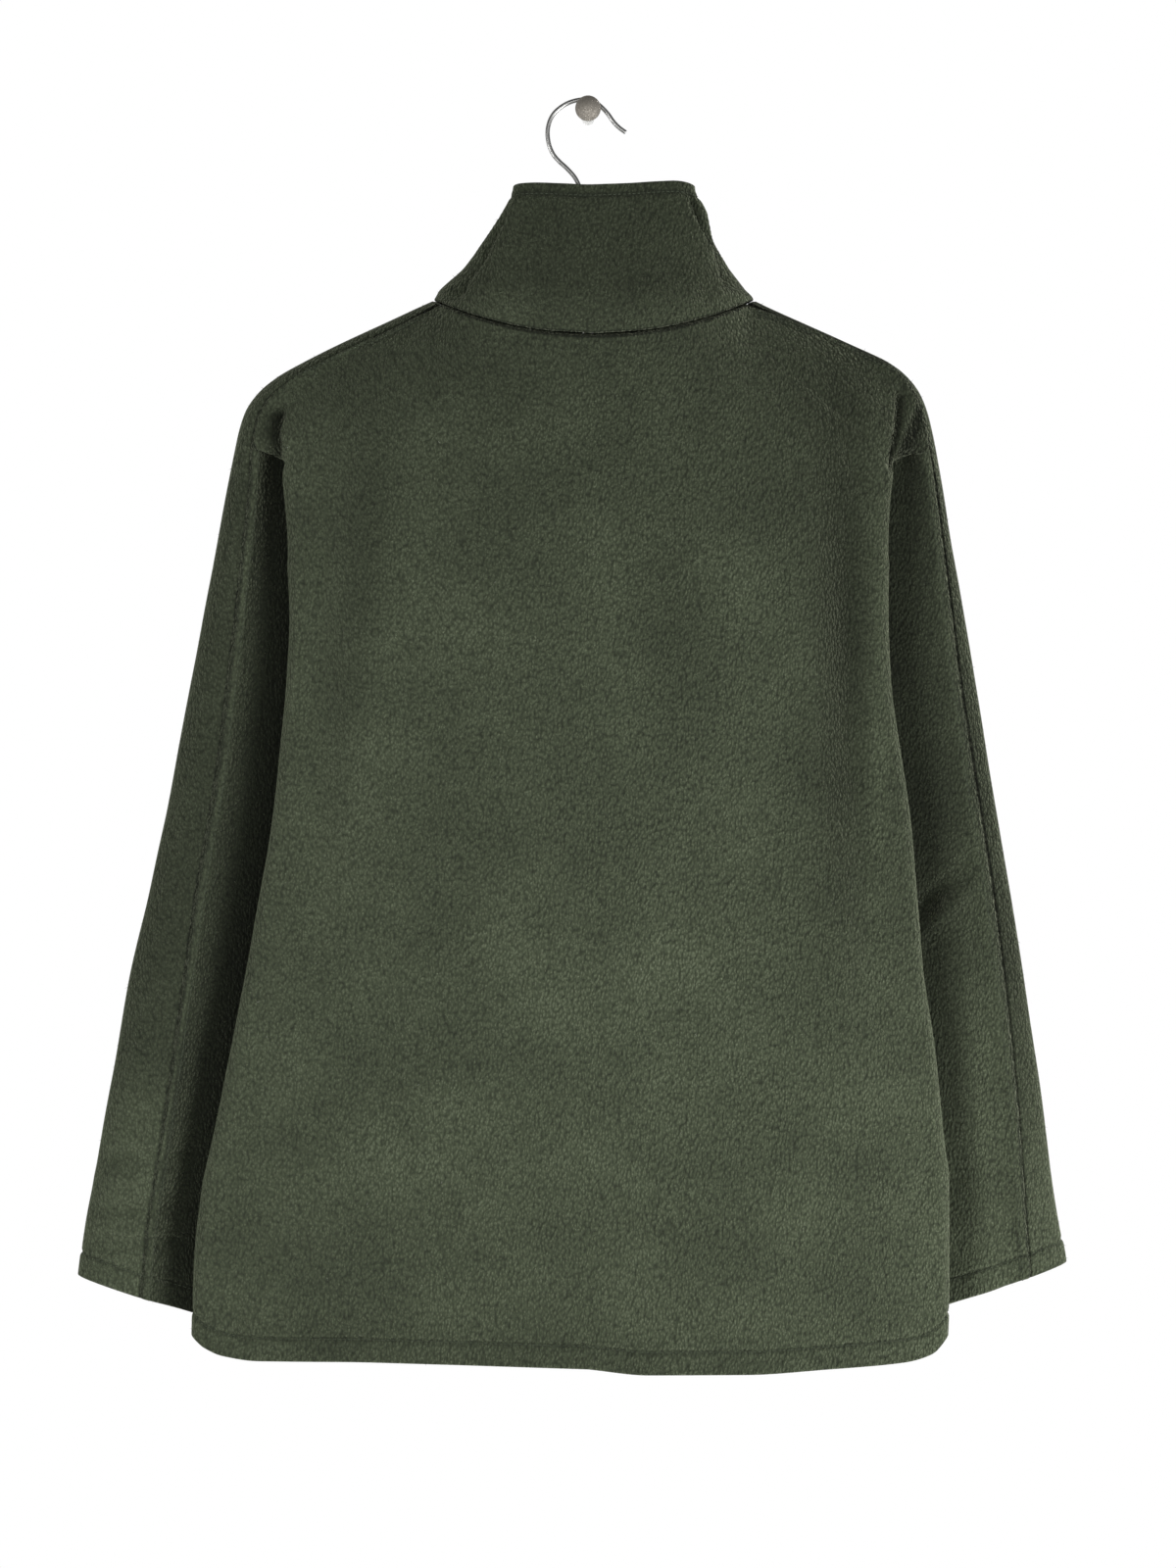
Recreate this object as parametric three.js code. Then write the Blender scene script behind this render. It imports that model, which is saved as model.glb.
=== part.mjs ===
// A fleece jacket hanging flat, seen from its back, with the hanger, hook and wall pin that hold it.
// Millimetres, +Z up.  The wall is the plane y = 0 and the jacket hangs in front of it, at y < 0.
// The origin is on the axis of the wall pin, at the wall.  "Left" is the wearer's left, at x < 0.
import * as THREE from "three";

const SEAM_GAP = 0.35;          // air left between two pieces at a seam
const CLOTH = 2.2;              // wall of the fleece
const HEM_WALL = 4.0;           // wall where the hem or the cuff is turned up double
const HEM_DEPTH = 16;           // height of the turned hem
const NECK_END_WALL = 1.2;      // wall of the top sleeve's end, pressed flat at the neck
const COLLAR_WALL = 3.0;        // wall of the doubled collar
const MIDDLE_Y = -46;           // plane half way between the back and the fronts
const FRONT_SIDE = 1;
const BACK_SIDE = -1;

const SLEEVE_NOSE = 6;          // half the thickness of a sleeve at its inner edge
const FLAP_DEPTH = 7.2;         // depth of the torso cloth folded in beside a sleeve
const NECK = { centreX: 4, halfWidth: 105, backDepth: 45, frontDepth: 32,
  sideZ: -128.5, backDrop: 26.5, frontDrop: 86.5 };
const ARMPIT_Z = -400;
const ARMPIT_DRAW = 2.6;        // how far the torso cloth draws in from the sleeve at the armpit
const JUNCTION_Z = -227;        // where the back, the top sleeve and the under sleeve meet
const TIP_STATION = 5;          // shoulder station at the tip, the top outer corner of a torso panel
const LEVEL_SEAM_DROP = 1.6;    // more air where the armhole seam runs nearly level
const ZIP = { halfGap: 3.35, halfWidth: 3, wall: 1.4 };
const CURVE_WEIGHT = 34;        // millimetres of straight cloth that one radian of bend counts for

// Each side of the torso by height: the folded edge that shows, the bottom of the side valley
// behind it, and the sideways distances are all taken from x = 0.
const TORSO = {
  left: [
    { z: -176, fold: 192, valley: 176 },
    { z: -216, fold: 209, valley: 165 },
    { z: -232, fold: 205, valley: 150 },
    { z: -250, fold: 202, valley: 142 },
    { z: -283, fold: 199, valley: 141 },
    { z: -334, fold: 197, valley: 140 },
    { z: -376, fold: 199, valley: 140 },
    { z: -400, fold: 201, valley: 139 },
    { z: -467, fold: 208, valley: 147 },
    { z: -512, fold: 216, valley: 160 },
    { z: -560, fold: 225, valley: 176 },
    { z: -619, fold: 237, valley: 197 },
    { z: -683, fold: 249, valley: 217 },
    { z: -709, fold: 254, valley: 223 },
    { z: -774, fold: 260, valley: 239 },
    { z: -812, fold: 261, valley: 242 },
  ],
  right: [
    { z: -176, fold: 196, valley: 180 },
    { z: -216, fold: 212, valley: 168 },
    { z: -232, fold: 207, valley: 152 },
    { z: -250, fold: 201, valley: 143 },
    { z: -283, fold: 199, valley: 140 },
    { z: -334, fold: 198, valley: 138 },
    { z: -376, fold: 200, valley: 138 },
    { z: -400, fold: 203, valley: 137 },
    { z: -467, fold: 213, valley: 143 },
    { z: -512, fold: 217, valley: 152 },
    { z: -560, fold: 221, valley: 163 },
    { z: -619, fold: 229, valley: 180 },
    { z: -683, fold: 235, valley: 196 },
    { z: -709, fold: 238, valley: 202 },
    { z: -774, fold: 238, valley: 217 },
    { z: -812, fold: 237, valley: 219 },
  ],
};

// Radius of the bend where the torso cloth turns in, above the height where it is folded close.
const OPEN_ROLL = [
  { z: -239, roll: 8 }, { z: -227, roll: 12 }, { z: -216, roll: 20 }, { z: -176, roll: 50 },
];

// Depth of the torso cloth from the middle plane: at its centre and beside its folded edges.
const DEPTH = {
  back: [
    { z: -150, centre: 45, edge: 23 },
    { z: -300, centre: 45, edge: 23 },
    { z: -520, centre: 44, edge: 23 },
    { z: -700, centre: 41, edge: 23 },
    { z: -835, centre: 37, edge: 23.5 },
  ],
  front: [
    { z: -150, centre: 32, edge: 23 },
    { z: -300, centre: 32, edge: 23 },
    { z: -520, centre: 31, edge: 23 },
    { z: -835, centre: 29, edge: 23 },
  ],
};

// Bottom edge of the torso by sideways distance from x = 0.
const HEM = {
  left: [
    { x: 0, z: -832 }, { x: 100, z: -829 }, { x: 156, z: -828 }, { x: 216, z: -828 },
    { x: 240, z: -825 }, { x: 252, z: -820 }, { x: 262, z: -812 },
  ],
  right: [
    { x: 0, z: -832 }, { x: 40, z: -836 }, { x: 104, z: -836 }, { x: 156, z: -833 },
    { x: 208, z: -829 }, { x: 226, z: -824 }, { x: 238, z: -812 },
  ],
};

// Each sleeve by height: outer edge, inner edge, half thickness, depth of the rounded outer part,
// and the two seams, both measured in from the outer edge.
const SLEEVE = {
  left: [
    { z: -227, outer: 233.8, inner: 150, half: 12, arch: 12, backSeam: 11.8, frontSeam: 12 },
    { z: -254, outer: 239.2, inner: 146, half: 12, arch: 16, backSeam: 15.7, frontSeam: 16 },
    { z: -287, outer: 245.7, inner: 142, half: 12.5, arch: 19, backSeam: 18.7, frontSeam: 19 },
    { z: -319, outer: 251.6, inner: 140, half: 13, arch: 22, backSeam: 21.1, frontSeam: 22 },
    { z: -400, outer: 266.5, inner: 141, half: 13.6, arch: 27, backSeam: 26.6, frontSeam: 27 },
    { z: -449, outer: 276.3, inner: 149, half: 14, arch: 31, backSeam: 30.3, frontSeam: 31 },
    { z: -514, outer: 289.3, inner: 166, half: 14.5, arch: 34, backSeam: 32.3, frontSeam: 34 },
    { z: -579, outer: 304.2, inner: 186, half: 15, arch: 39, backSeam: 38.2, frontSeam: 39 },
    { z: -644, outer: 315.3, inner: 208, half: 15, arch: 41, backSeam: 40.3, frontSeam: 41 },
    { z: -709, outer: 327, inner: 226, half: 15, arch: 43, backSeam: 42, frontSeam: 43 },
    { z: -742, outer: 333.5, inner: 235, half: 14.5, arch: 44, backSeam: 43.5, frontSeam: 44 },
    { z: -775, outer: 338, inner: 244, half: 14, arch: 45, backSeam: 44.5, frontSeam: 45 },
    { z: -812, outer: 341, inner: 246, half: 14, arch: 45, backSeam: 44.5, frontSeam: 45 },
  ],
  right: [
    { z: -227, outer: 230.6, inner: 150, half: 12, arch: 12, backSeam: 4.6, frontSeam: 14 },
    { z: -254, outer: 235.3, inner: 146, half: 12, arch: 16, backSeam: 5, frontSeam: 20 },
    { z: -287, outer: 240.4, inner: 142, half: 12.5, arch: 19, backSeam: 5.6, frontSeam: 28 },
    { z: -319, outer: 246.4, inner: 140, half: 13, arch: 22, backSeam: 7.8, frontSeam: 34 },
    { z: -400, outer: 260, inner: 139, half: 13.6, arch: 27, backSeam: 11, frontSeam: 41 },
    { z: -449, outer: 267.8, inner: 146, half: 14, arch: 31, backSeam: 11.2, frontSeam: 48 },
    { z: -514, outer: 278.9, inner: 158, half: 14.5, arch: 34, backSeam: 12, frontSeam: 52 },
    { z: -579, outer: 289.3, inner: 174, half: 15, arch: 38, backSeam: 14, frontSeam: 58 },
    { z: -644, outer: 299, inner: 192, half: 15, arch: 41, backSeam: 16.6, frontSeam: 62 },
    { z: -709, outer: 307.5, inner: 205, half: 15, arch: 43, backSeam: 20, frontSeam: 62 },
    { z: -742, outer: 312.7, inner: 213, half: 14.5, arch: 44, backSeam: 23.2, frontSeam: 62 },
    { z: -766, outer: 317, inner: 220, half: 14, arch: 45, backSeam: 25.6, frontSeam: 62 },
    { z: -812, outer: 320, inner: 224, half: 14, arch: 45, backSeam: 26, frontSeam: 62 },
  ],
};
const CUFF = {
  left: { outerX: 338, outerZ: -775, slope: 0.316 },
  right: { outerX: 317, outerZ: -766.4, slope: 0.348 },
};

// Ridge of the shoulder from the sleeve head to the neck, with the seam on each face measured
// square to the ridge, and the width and half thickness of the rounded ridge.
const SHOULDER = {
  left: [
    { x: 233.8, z: -227, arch: 12, half: 12, backSeam: 11.8, frontSeam: 12 },
    { x: 231.2, z: -215, arch: 11.4, half: 12, backSeam: 11.2, frontSeam: 11.4 },
    { x: 226.9, z: -202, arch: 10.4, half: 12, backSeam: 10.2, frontSeam: 10.4 },
    { x: 218.6, z: -190, arch: 9.4, half: 12, backSeam: 9.2, frontSeam: 9.4 },
    { x: 207, z: -180.3, arch: 8.6, half: 12, backSeam: 8.4, frontSeam: 8.6 },
    { x: 188.5, z: -169.6, arch: 7.8, half: 12, backSeam: 7.7, frontSeam: 7.8 },
    { x: 163, z: -156.6, arch: 7.6, half: 12, backSeam: 7.5, frontSeam: 7.6 },
    { x: 134.5, z: -143.6, arch: 7.6, half: 12, backSeam: 7.5, frontSeam: 7.6 },
    { x: 113, z: -133.6, arch: 6.2, half: 12, backSeam: 6.1, frontSeam: 6.2 },
    { x: 101.4, z: -128.6, arch: 4.6, half: 12, backSeam: 4.5, frontSeam: 4.6 },
  ],
  right: [
    { x: 230.6, z: -227, arch: 12, half: 12, backSeam: 4.6, frontSeam: 14 },
    { x: 228.2, z: -215, arch: 11.4, half: 12, backSeam: 4.6, frontSeam: 13.4 },
    { x: 224.9, z: -202, arch: 10.4, half: 12, backSeam: 4.8, frontSeam: 12.4 },
    { x: 219.7, z: -189.6, arch: 9.4, half: 12, backSeam: 4.8, frontSeam: 11.4 },
    { x: 210.4, z: -178, arch: 8.6, half: 12, backSeam: 4.4, frontSeam: 10.6 },
    { x: 199.5, z: -169.8, arch: 7.8, half: 12, backSeam: 3.8, frontSeam: 10 },
    { x: 170, z: -156, arch: 7.6, half: 12, backSeam: 3.2, frontSeam: 10 },
    { x: 141, z: -143, arch: 7.6, half: 12, backSeam: 3, frontSeam: 9 },
    { x: 121, z: -134, arch: 6.2, half: 12, backSeam: 3.6, frontSeam: 6.6 },
    { x: 109.4, z: -128.6, arch: 4.6, half: 12, backSeam: 4.2, frontSeam: 4.6 },
  ],
};

// Armhole seam from the junction down to the armpit, by height.
const ARMHOLE = {
  left: [
    { z: -227, x: 222 }, { z: -232, x: 206 }, { z: -239, x: 188 }, { z: -251, x: 174 },
    { z: -268, x: 165 }, { z: -292, x: 157 }, { z: -322, x: 151 }, { z: -360, x: 146 },
    { z: -385, x: 142.4 }, { z: -400, x: 141 },
  ],
  right: [
    { z: -227, x: 226 }, { z: -232, x: 208 }, { z: -239, x: 189 }, { z: -251, x: 174 },
    { z: -268, x: 165 }, { z: -292, x: 157 }, { z: -322, x: 151 }, { z: -360, x: 145 },
    { z: -385, x: 140.8 }, { z: -400, x: 139 },
  ],
};

// Largest soft folds of the hanging cloth, as long shallow hollows (sunk > 0) or rises (sunk < 0).
const FOLDS = {
  back: [
    { x: -176, z: -370, across: 13, along: 130, lean: 0.02, sunk: 2.6 },
    { x: 179, z: -335, across: 13, along: 150, lean: -0.06, sunk: 3.8 },
    { x: -120, z: -290, across: 26, along: 70, lean: 0.35, sunk: 1.8 },
    { x: 70, z: -560, across: 20, along: 120, lean: 0.12, sunk: 2.2 },
    { x: 178, z: -620, across: 24, along: 120, lean: -0.16, sunk: -2.2 },
    { x: -190, z: -770, across: 20, along: 60, lean: -0.5, sunk: 2.4 },
    { x: -10, z: -330, across: 60, along: 120, lean: 0, sunk: -2 },
  ],
  front: [
    { x: -150, z: -420, across: 16, along: 150, lean: 0.1, sunk: 2.2 },
    { x: 155, z: -390, across: 16, along: 150, lean: -0.1, sunk: 2.2 },
    { x: -90, z: -640, across: 24, along: 120, lean: 0.15, sunk: 1.8 },
    { x: 100, z: -690, across: 24, along: 120, lean: -0.12, sunk: 1.8 },
  ],
};

// Half of the collar from the centre of the back round to the front edge.  "turn" is the angle on
// the neck ring at the bottom; topX and topDepth are the same thread's place at the top edge,
// where the collar is folded in at its side.
const COLLAR_THREADS = [
  { turn: 0, topX: 0, topDepth: 24, fold: 0 },
  { turn: 22, topX: 26, topDepth: 23, fold: 0 },
  { turn: 44, topX: 46, topDepth: 21, fold: 0 },
  { turn: 60, topX: 55.5, topDepth: 18, fold: 0 },
  { turn: 70, topX: 58, topDepth: 12.5, fold: 0 },
  { turn: 77, topX: 53, topDepth: 7.5, fold: 0.5 },
  { turn: 84, topX: 40, topDepth: 4.6, fold: 1 },
  { turn: 90, topX: 31, topDepth: 0, fold: 1 },
  { turn: 96, topX: 40, topDepth: -4.6, fold: 1 },
  { turn: 103, topX: 55, topDepth: -7.5, fold: 0.5 },
  { turn: 112, topX: 61, topDepth: -12.5, fold: 0 },
  { turn: 124, topX: 57, topDepth: -18, fold: 0 },
  { turn: 137, topX: 48, topDepth: -20.4, fold: 0 },
  { turn: 151, topX: 33, topDepth: -21, fold: 0 },
  { turn: 165, topX: 17, topDepth: -21, fold: 0 },
];
const COLLAR = { topX: 11, backTopZ: -54, sideTopZ: -57, frontTopZ: -124, frontTopDepth: 21,
  unfolded: 60, lean: 1.4 };

const PIN = { plateRadius: 6, plateDepth: 1.2, shankRadius: 3, headRadius: 8.5 };
const WIRE_RADIUS = 1.5;
const HOOK_PATH = [
  { x: 0, z: -96.4 }, { x: -3, z: -72 }, { x: -7, z: -52 }, { x: -14.5, z: -40 },
  { x: -21, z: -33 }, { x: -25, z: -27 }, { x: -26, z: -19 }, { x: -24.5, z: -9 },
  { x: -18.5, z: -0.5 }, { x: -9, z: 4 }, { x: 0, z: 4.9 }, { x: 7.5, z: 0.8 },
  { x: 13, z: -5 }, { x: 19, z: -11.5 }, { x: 25, z: -17.5 },
];
const HANGER = { halfDepth: 6, halfHeight: 6.5, centreZ: -97, reach: 190, belowNeck: 5, belowRidge: 3 };

const SLIDER = { width: 5, height: 12, depth: 3, hoopDepth: 4.6, hoopHeight: 7, hoopWall: 1.1 };
const SLIDER_PLACE = { depth: 23, z: -136 };
const TAB = { width: 10, length: 24, wall: 1.2, holeWidth: 6.4, holeHeight: 4.2, topBar: 1.8 };

const clamp = (value, low, high) => Math.min(high, Math.max(low, value));
const mix = (a, b, share) => a + (b - a) * share;
const radians = (degrees) => degrees * Math.PI / 180;
const easeInOut = (share) => {
  const s = clamp(share, 0, 1);
  return s * s * (3 - 2 * s);
};

/** Reads a named column of a table by another, along a smooth curve through the rows. */
function read(table, column, key, at) {
  const rows = table[0][key] <= table[table.length - 1][key] ? table : [...table].reverse();
  const last = rows.length - 1;
  const place = clamp(at, rows[0][key], rows[last][key]);
  let i = 0;
  while (i < last - 1 && place > rows[i + 1][key]) {
    i += 1;
  }
  const slope = (a, b) => (rows[b][column] - rows[a][column]) / (rows[b][key] - rows[a][key]);
  const here = slope(i, i + 1);
  const before = i > 0 ? slope(i - 1, i) : here;
  const after = i < last - 1 ? slope(i + 1, i + 2) : here;
  const startSlope = before * here > 0 ? 2 * before * here / (before + here) : 0;
  const endSlope = after * here > 0 ? 2 * after * here / (after + here) : 0;
  const span = rows[i + 1][key] - rows[i][key];
  const u = (place - rows[i][key]) / span;
  const tail = u - 1;
  return rows[i][column] * (1 + 2 * u) * tail * tail + rows[i + 1][column] * u * u * (3 - 2 * u)
    + startSlope * span * u * tail * tail + endSlope * span * u * u * tail;
}

/** Spreads points along a path evenly by its length plus a share for its bends. */
function spread(path, count) {
  const measure = [0];
  for (let i = 1; i < path.length; i += 1) {
    const step = path[i].distanceTo(path[i - 1]);
    let bend = 0;
    if (i < path.length - 1 && step > 0) {
      const into = path[i].clone().sub(path[i - 1]);
      const out = path[i + 1].clone().sub(path[i]);
      bend = Math.min(into.angleTo(out), step / 3);
    }
    measure.push(measure[i - 1] + step + bend * CURVE_WEIGHT);
  }
  return cut(path, measure, count);
}

/** Points at equal steps of a running measure along a path. */
function cut(path, measure, count) {
  const total = measure[measure.length - 1];
  const points = [];
  let i = 0;
  for (let k = 0; k <= count; k += 1) {
    const target = total * k / count;
    while (i < path.length - 2 && measure[i + 1] < target) {
      i += 1;
    }
    const span = measure[i + 1] - measure[i];
    const share = span > 0 ? clamp((target - measure[i]) / span, 0, 1) : 0;
    points.push(path[i].clone().lerp(path[i + 1], share));
  }
  return points;
}

/** Geometry from flat lists of vertices and triangles. */
function mesh(vertices, triangles) {
  const geometry = new THREE.BufferGeometry();
  const flat = vertices.flatMap((v) => [v.x, v.y, v.z]);
  geometry.setAttribute("position", new THREE.Float32BufferAttribute(flat, 3));
  geometry.setIndex(triangles.flat());
  geometry.computeVertexNormals();
  return geometry;
}

/**
 * Closed wall of cloth from a grid of points on its outer face.  The outward side is the cross
 * product of the step to the next row and the step to the next column, or the other side if
 * "reversed".  "wallAt" gives the wall's thickness at a grid point, and a point's own "facing"
 * is the outward direction that it shares with the piece across a seam.
 */
function wall(grid, wallAt, reversed = false) {
  const rows = grid.length;
  const columns = grid[0].length;
  const outer = grid.flat();
  const inner = [];
  for (let i = 0; i < rows; i += 1) {
    for (let j = 0; j < columns; j += 1) {
      const down = grid[Math.max(i - 1, 0)][j];
      const up = grid[Math.min(i + 1, rows - 1)][j];
      const before = grid[i][Math.max(j - 1, 0)];
      const after = grid[i][Math.min(j + 1, columns - 1)];
      const normal = up.clone().sub(down).cross(after.clone().sub(before)).normalize();
      const outward = grid[i][j].facing ?? normal.multiplyScalar(reversed ? -1 : 1);
      inner.push(grid[i][j].clone().addScaledVector(outward, -wallAt(i, j)));
    }
  }
  const at = (i, j) => i * columns + j;
  const under = (i, j) => rows * columns + at(i, j);
  const triangles = [];
  const square = (a, b, c, d) => triangles.push([a, b, c], [a, c, d]);
  for (let i = 0; i < rows - 1; i += 1) {
    for (let j = 0; j < columns - 1; j += 1) {
      square(at(i, j), at(i + 1, j), at(i + 1, j + 1), at(i, j + 1));
      square(under(i, j), under(i, j + 1), under(i + 1, j + 1), under(i + 1, j));
    }
    square(at(i, 0), under(i, 0), under(i + 1, 0), at(i + 1, 0));
    const end = columns - 1;
    square(at(i, end), at(i + 1, end), under(i + 1, end), under(i, end));
  }
  for (let j = 0; j < columns - 1; j += 1) {
    square(at(0, j), at(0, j + 1), under(0, j + 1), under(0, j));
    const top = rows - 1;
    square(at(top, j), under(top, j), under(top, j + 1), at(top, j + 1));
  }
  const faces = reversed ? triangles.map(([a, b, c]) => [a, c, b]) : triangles;
  return mesh([...outer, ...inner], faces);
}

/** Closed body through a row of rings with the same number of points, with fans at both ends. */
function lofted(rings) {
  const sides = rings[0].length;
  const vertices = rings.flat();
  const triangles = [];
  for (let i = 0; i < rings.length - 1; i += 1) {
    for (let j = 0; j < sides; j += 1) {
      const a = i * sides + j;
      const b = i * sides + (j + 1) % sides;
      triangles.push([a, b, b + sides], [a, b + sides, a + sides]);
    }
  }
  const centre = (ring) => ring.reduce((sum, p) => sum.add(p), new THREE.Vector3())
    .divideScalar(sides);
  const start = vertices.push(centre(rings[0])) - 1;
  const end = vertices.push(centre(rings[rings.length - 1])) - 1;
  const lastRing = (rings.length - 1) * sides;
  for (let j = 0; j < sides; j += 1) {
    const next = (j + 1) % sides;
    triangles.push([start, next, j], [end, lastRing + j, lastRing + next]);
  }
  return mesh(vertices, triangles);
}

/** Point of the neck ring; 0 degrees is the centre of the back and 180 the centre of the front. */
function neckPoint(side, angle, apart) {
  const turn = radians(angle);
  const depth = Math.cos(turn) * (angle < 90 ? NECK.backDepth : NECK.frontDepth);
  const drop = angle < 90 ? NECK.backDrop * Math.cos(turn) ** 1.8
    : NECK.frontDrop * Math.abs(Math.cos(turn)) ** 3;
  const x = NECK.centreX + side * (NECK.halfWidth + apart) * Math.sin(turn);
  return new THREE.Vector3(x, MIDDLE_Y - depth, NECK.sideZ - drop - apart * Math.abs(Math.cos(turn)));
}

/** Point of the neck ring on one face at a depth from the middle plane, just outside the ring. */
function neckAtDepth(side, face, depth) {
  const ringDepth = face === BACK_SIDE ? NECK.backDepth : NECK.frontDepth;
  const turned = Math.acos(clamp(depth / ringDepth, 0, 1)) * 180 / Math.PI;
  const point = neckPoint(side, face === BACK_SIDE ? turned : 180 - turned, SEAM_GAP);
  return { x: point.x + side * SEAM_GAP, z: point.z };
}

/** Ridge, inward direction and sizes of the shoulder at a share of the way to the neck. */
function shoulderStation(sideName, share) {
  const rows = SHOULDER[sideName].map((row, i, all) => ({ ...row, share: i / (all.length - 1) }));
  const station = { share };
  for (const column of ["x", "z", "arch", "half", "backSeam", "frontSeam"]) {
    station[column] = read(rows, column, "share", share);
  }
  const step = 0.02;
  const dx = read(rows, "x", "share", share + step) - read(rows, "x", "share", share - step);
  const dz = read(rows, "z", "share", share + step) - read(rows, "z", "share", share - step);
  const turned = easeInOut(share * 5);
  const atNeck = easeInOut((share - 0.85) / 0.15);
  station.inward = new THREE.Vector2(-dz, dx).normalize()
    .lerp(new THREE.Vector2(-1, 0), 1 - turned)
    .lerp(new THREE.Vector2(-0.83, -0.55), atNeck).normalize();
  return station;
}

/** Sizes of a sleeve's level section. */
function sleeveStation(sideName, z) {
  const station = { z };
  for (const column of ["outer", "inner", "half", "arch", "backSeam", "frontSeam"]) {
    station[column] = read(SLEEVE[sideName], column, "z", z);
  }
  station.nose = station.inner;
  if (z > ARMPIT_Z) {
    const opened = easeInOut((z - ARMPIT_Z) / 35);
    station.nose = read(ARMHOLE[sideName], "x", "z", z) - SLEEVE_NOSE * opened;
  }
  station.thinAt = read(TORSO[sideName], "fold", "z", z) + 2;
  return station;
}

/** Half thickness of a sleeve at a distance in from its outer edge. */
function sleeveDepth(station, inset) {
  if (inset < station.arch) {
    const left = 1 - inset / station.arch;
    return station.half * Math.sqrt(Math.max(0, 1 - left * left));
  }
  const x = station.outer - inset;
  const thick = station.outer - station.arch;
  const share = easeInOut((x - station.thinAt) / (thick - station.thinAt));
  const body = mix(SLEEVE_NOSE, station.half, share);
  const toNose = clamp((x - station.nose) / SLEEVE_NOSE, 0, 1);
  return body * Math.sqrt(1 - (1 - toNose) ** 2);
}

/** Bottom edge of a sleeve at a sideways distance. */
const cuffZ = (sideName, x) => CUFF[sideName].outerZ
  - CUFF[sideName].slope * (CUFF[sideName].outerX - x);

const CUFF_ROWS = [0, 0.026, 0.03, 0.07, 0.16, 0.27, 0.38, 0.49, 0.6, 0.7, 0.79, 0.87, 0.94, 1];
const ARCH_COLUMNS = 5;

/** Outward direction at a seam, from the slope of the section there. */
function seamFacing(side, face, inward, depthOf, inset) {
  const reach = 0.4;
  const slope = (depthOf(inset + reach) - depthOf(inset - reach)) / (2 * reach);
  return new THREE.Vector3(-side * inward.x * slope, face, -inward.y * slope).normalize();
}

const LEVEL_INWARD = new THREE.Vector2(-1, 0);

/** Outer half of a sleeve, which runs on over the shoulder to the neck. */
function topSleeve(sideName) {
  const side = sideName === "left" ? -1 : 1;
  const grid = [];
  const columns = [];
  for (let j = -ARCH_COLUMNS; j <= ARCH_COLUMNS; j += 1) {
    columns.push(j / ARCH_COLUMNS);
  }
  for (const share of CUFF_ROWS) {
    grid.push(columns.map((place) => {
      const seam = place < 0 ? "frontSeam" : "backSeam";
      const face = place < 0 ? FRONT_SIDE : BACK_SIDE;
      let z = mix(CUFF[sideName].outerZ, JUNCTION_Z, share);
      let point = new THREE.Vector3();
      for (let pass = 0; pass < 3; pass += 1) {
        const station = sleeveStation(sideName, z);
        const inset = archInset(station, station[seam], Math.abs(place));
        const x = station.outer - inset;
        point = new THREE.Vector3(side * x, MIDDLE_Y + face * sleeveDepth(station, inset), z);
        z = mix(cuffZ(sideName, x), JUNCTION_Z, share);
        if (Math.abs(place) === 1) {
          const depthOf = (at) => sleeveDepth(station, at);
          point.facing = seamFacing(side, face, LEVEL_INWARD, depthOf, inset);
        }
      }
      return point;
    }));
  }
  const stations = SHOULDER[sideName].length - 1;
  for (let k = 1; k <= stations; k += 1) {
    const station = shoulderStation(sideName, k / stations);
    grid.push(columns.map((place) => {
      const face = place < 0 ? FRONT_SIDE : BACK_SIDE;
      const seam = place < 0 ? station.frontSeam : station.backSeam;
      const inset = archInset(station, seam, Math.abs(place));
      const depth = ridgeDepth(station, inset);
      const x = station.x + station.inward.x * inset;
      const z = station.z + station.inward.y * inset;
      const point = new THREE.Vector3(side * x, MIDDLE_Y + face * depth, z);
      if (Math.abs(place) === 1) {
        const depthOf = (at) => ridgeDepth(station, at);
        point.facing = seamFacing(side, face, station.inward, depthOf, inset);
      }
      if (k === stations) {
        const end = neckAtDepth(side, face, depth);
        point.x = end.x;
        point.z = end.z;
      }
      return point;
    }));
  }
  const wallAt = (i) => {
    const plain = i === grid.length - 1 ? NECK_END_WALL : CLOTH;
    return i < 2 ? HEM_WALL : plain;
  };
  return wall(grid, wallAt, side < 0);
}

/** Distance in from the ridge of the point that lies a share of the way round to a seam. */
function archInset(station, seamInset, share) {
  const onArch = Math.min(seamInset, station.arch);
  const seamAngle = Math.acos(clamp(1 - onArch / station.arch, -1, 1));
  const round = station.half * seamAngle;
  const straight = Math.max(0, seamInset - station.arch);
  const walked = share * (round + straight);
  if (walked <= round) {
    return station.arch * (1 - Math.cos(walked / station.half));
  }
  return station.arch + walked - round;
}

/** Half thickness of the shoulder at a distance from its ridge. */
function ridgeDepth(station, inset) {
  const left = 1 - Math.min(inset / station.arch, 1);
  return station.half * Math.sqrt(1 - left * left);
}

/** Place of an armhole point along a sleeve section, 0 at the seam and 1 at the inner edge. */
function armholeShare(sideName, face, row) {
  const station = sleeveStation(sideName, row.z);
  const seam = station.outer - (face === BACK_SIDE ? station.backSeam : station.frontSeam);
  return clamp((seam - row.x) / (seam - station.inner), 0, 1);
}

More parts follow.
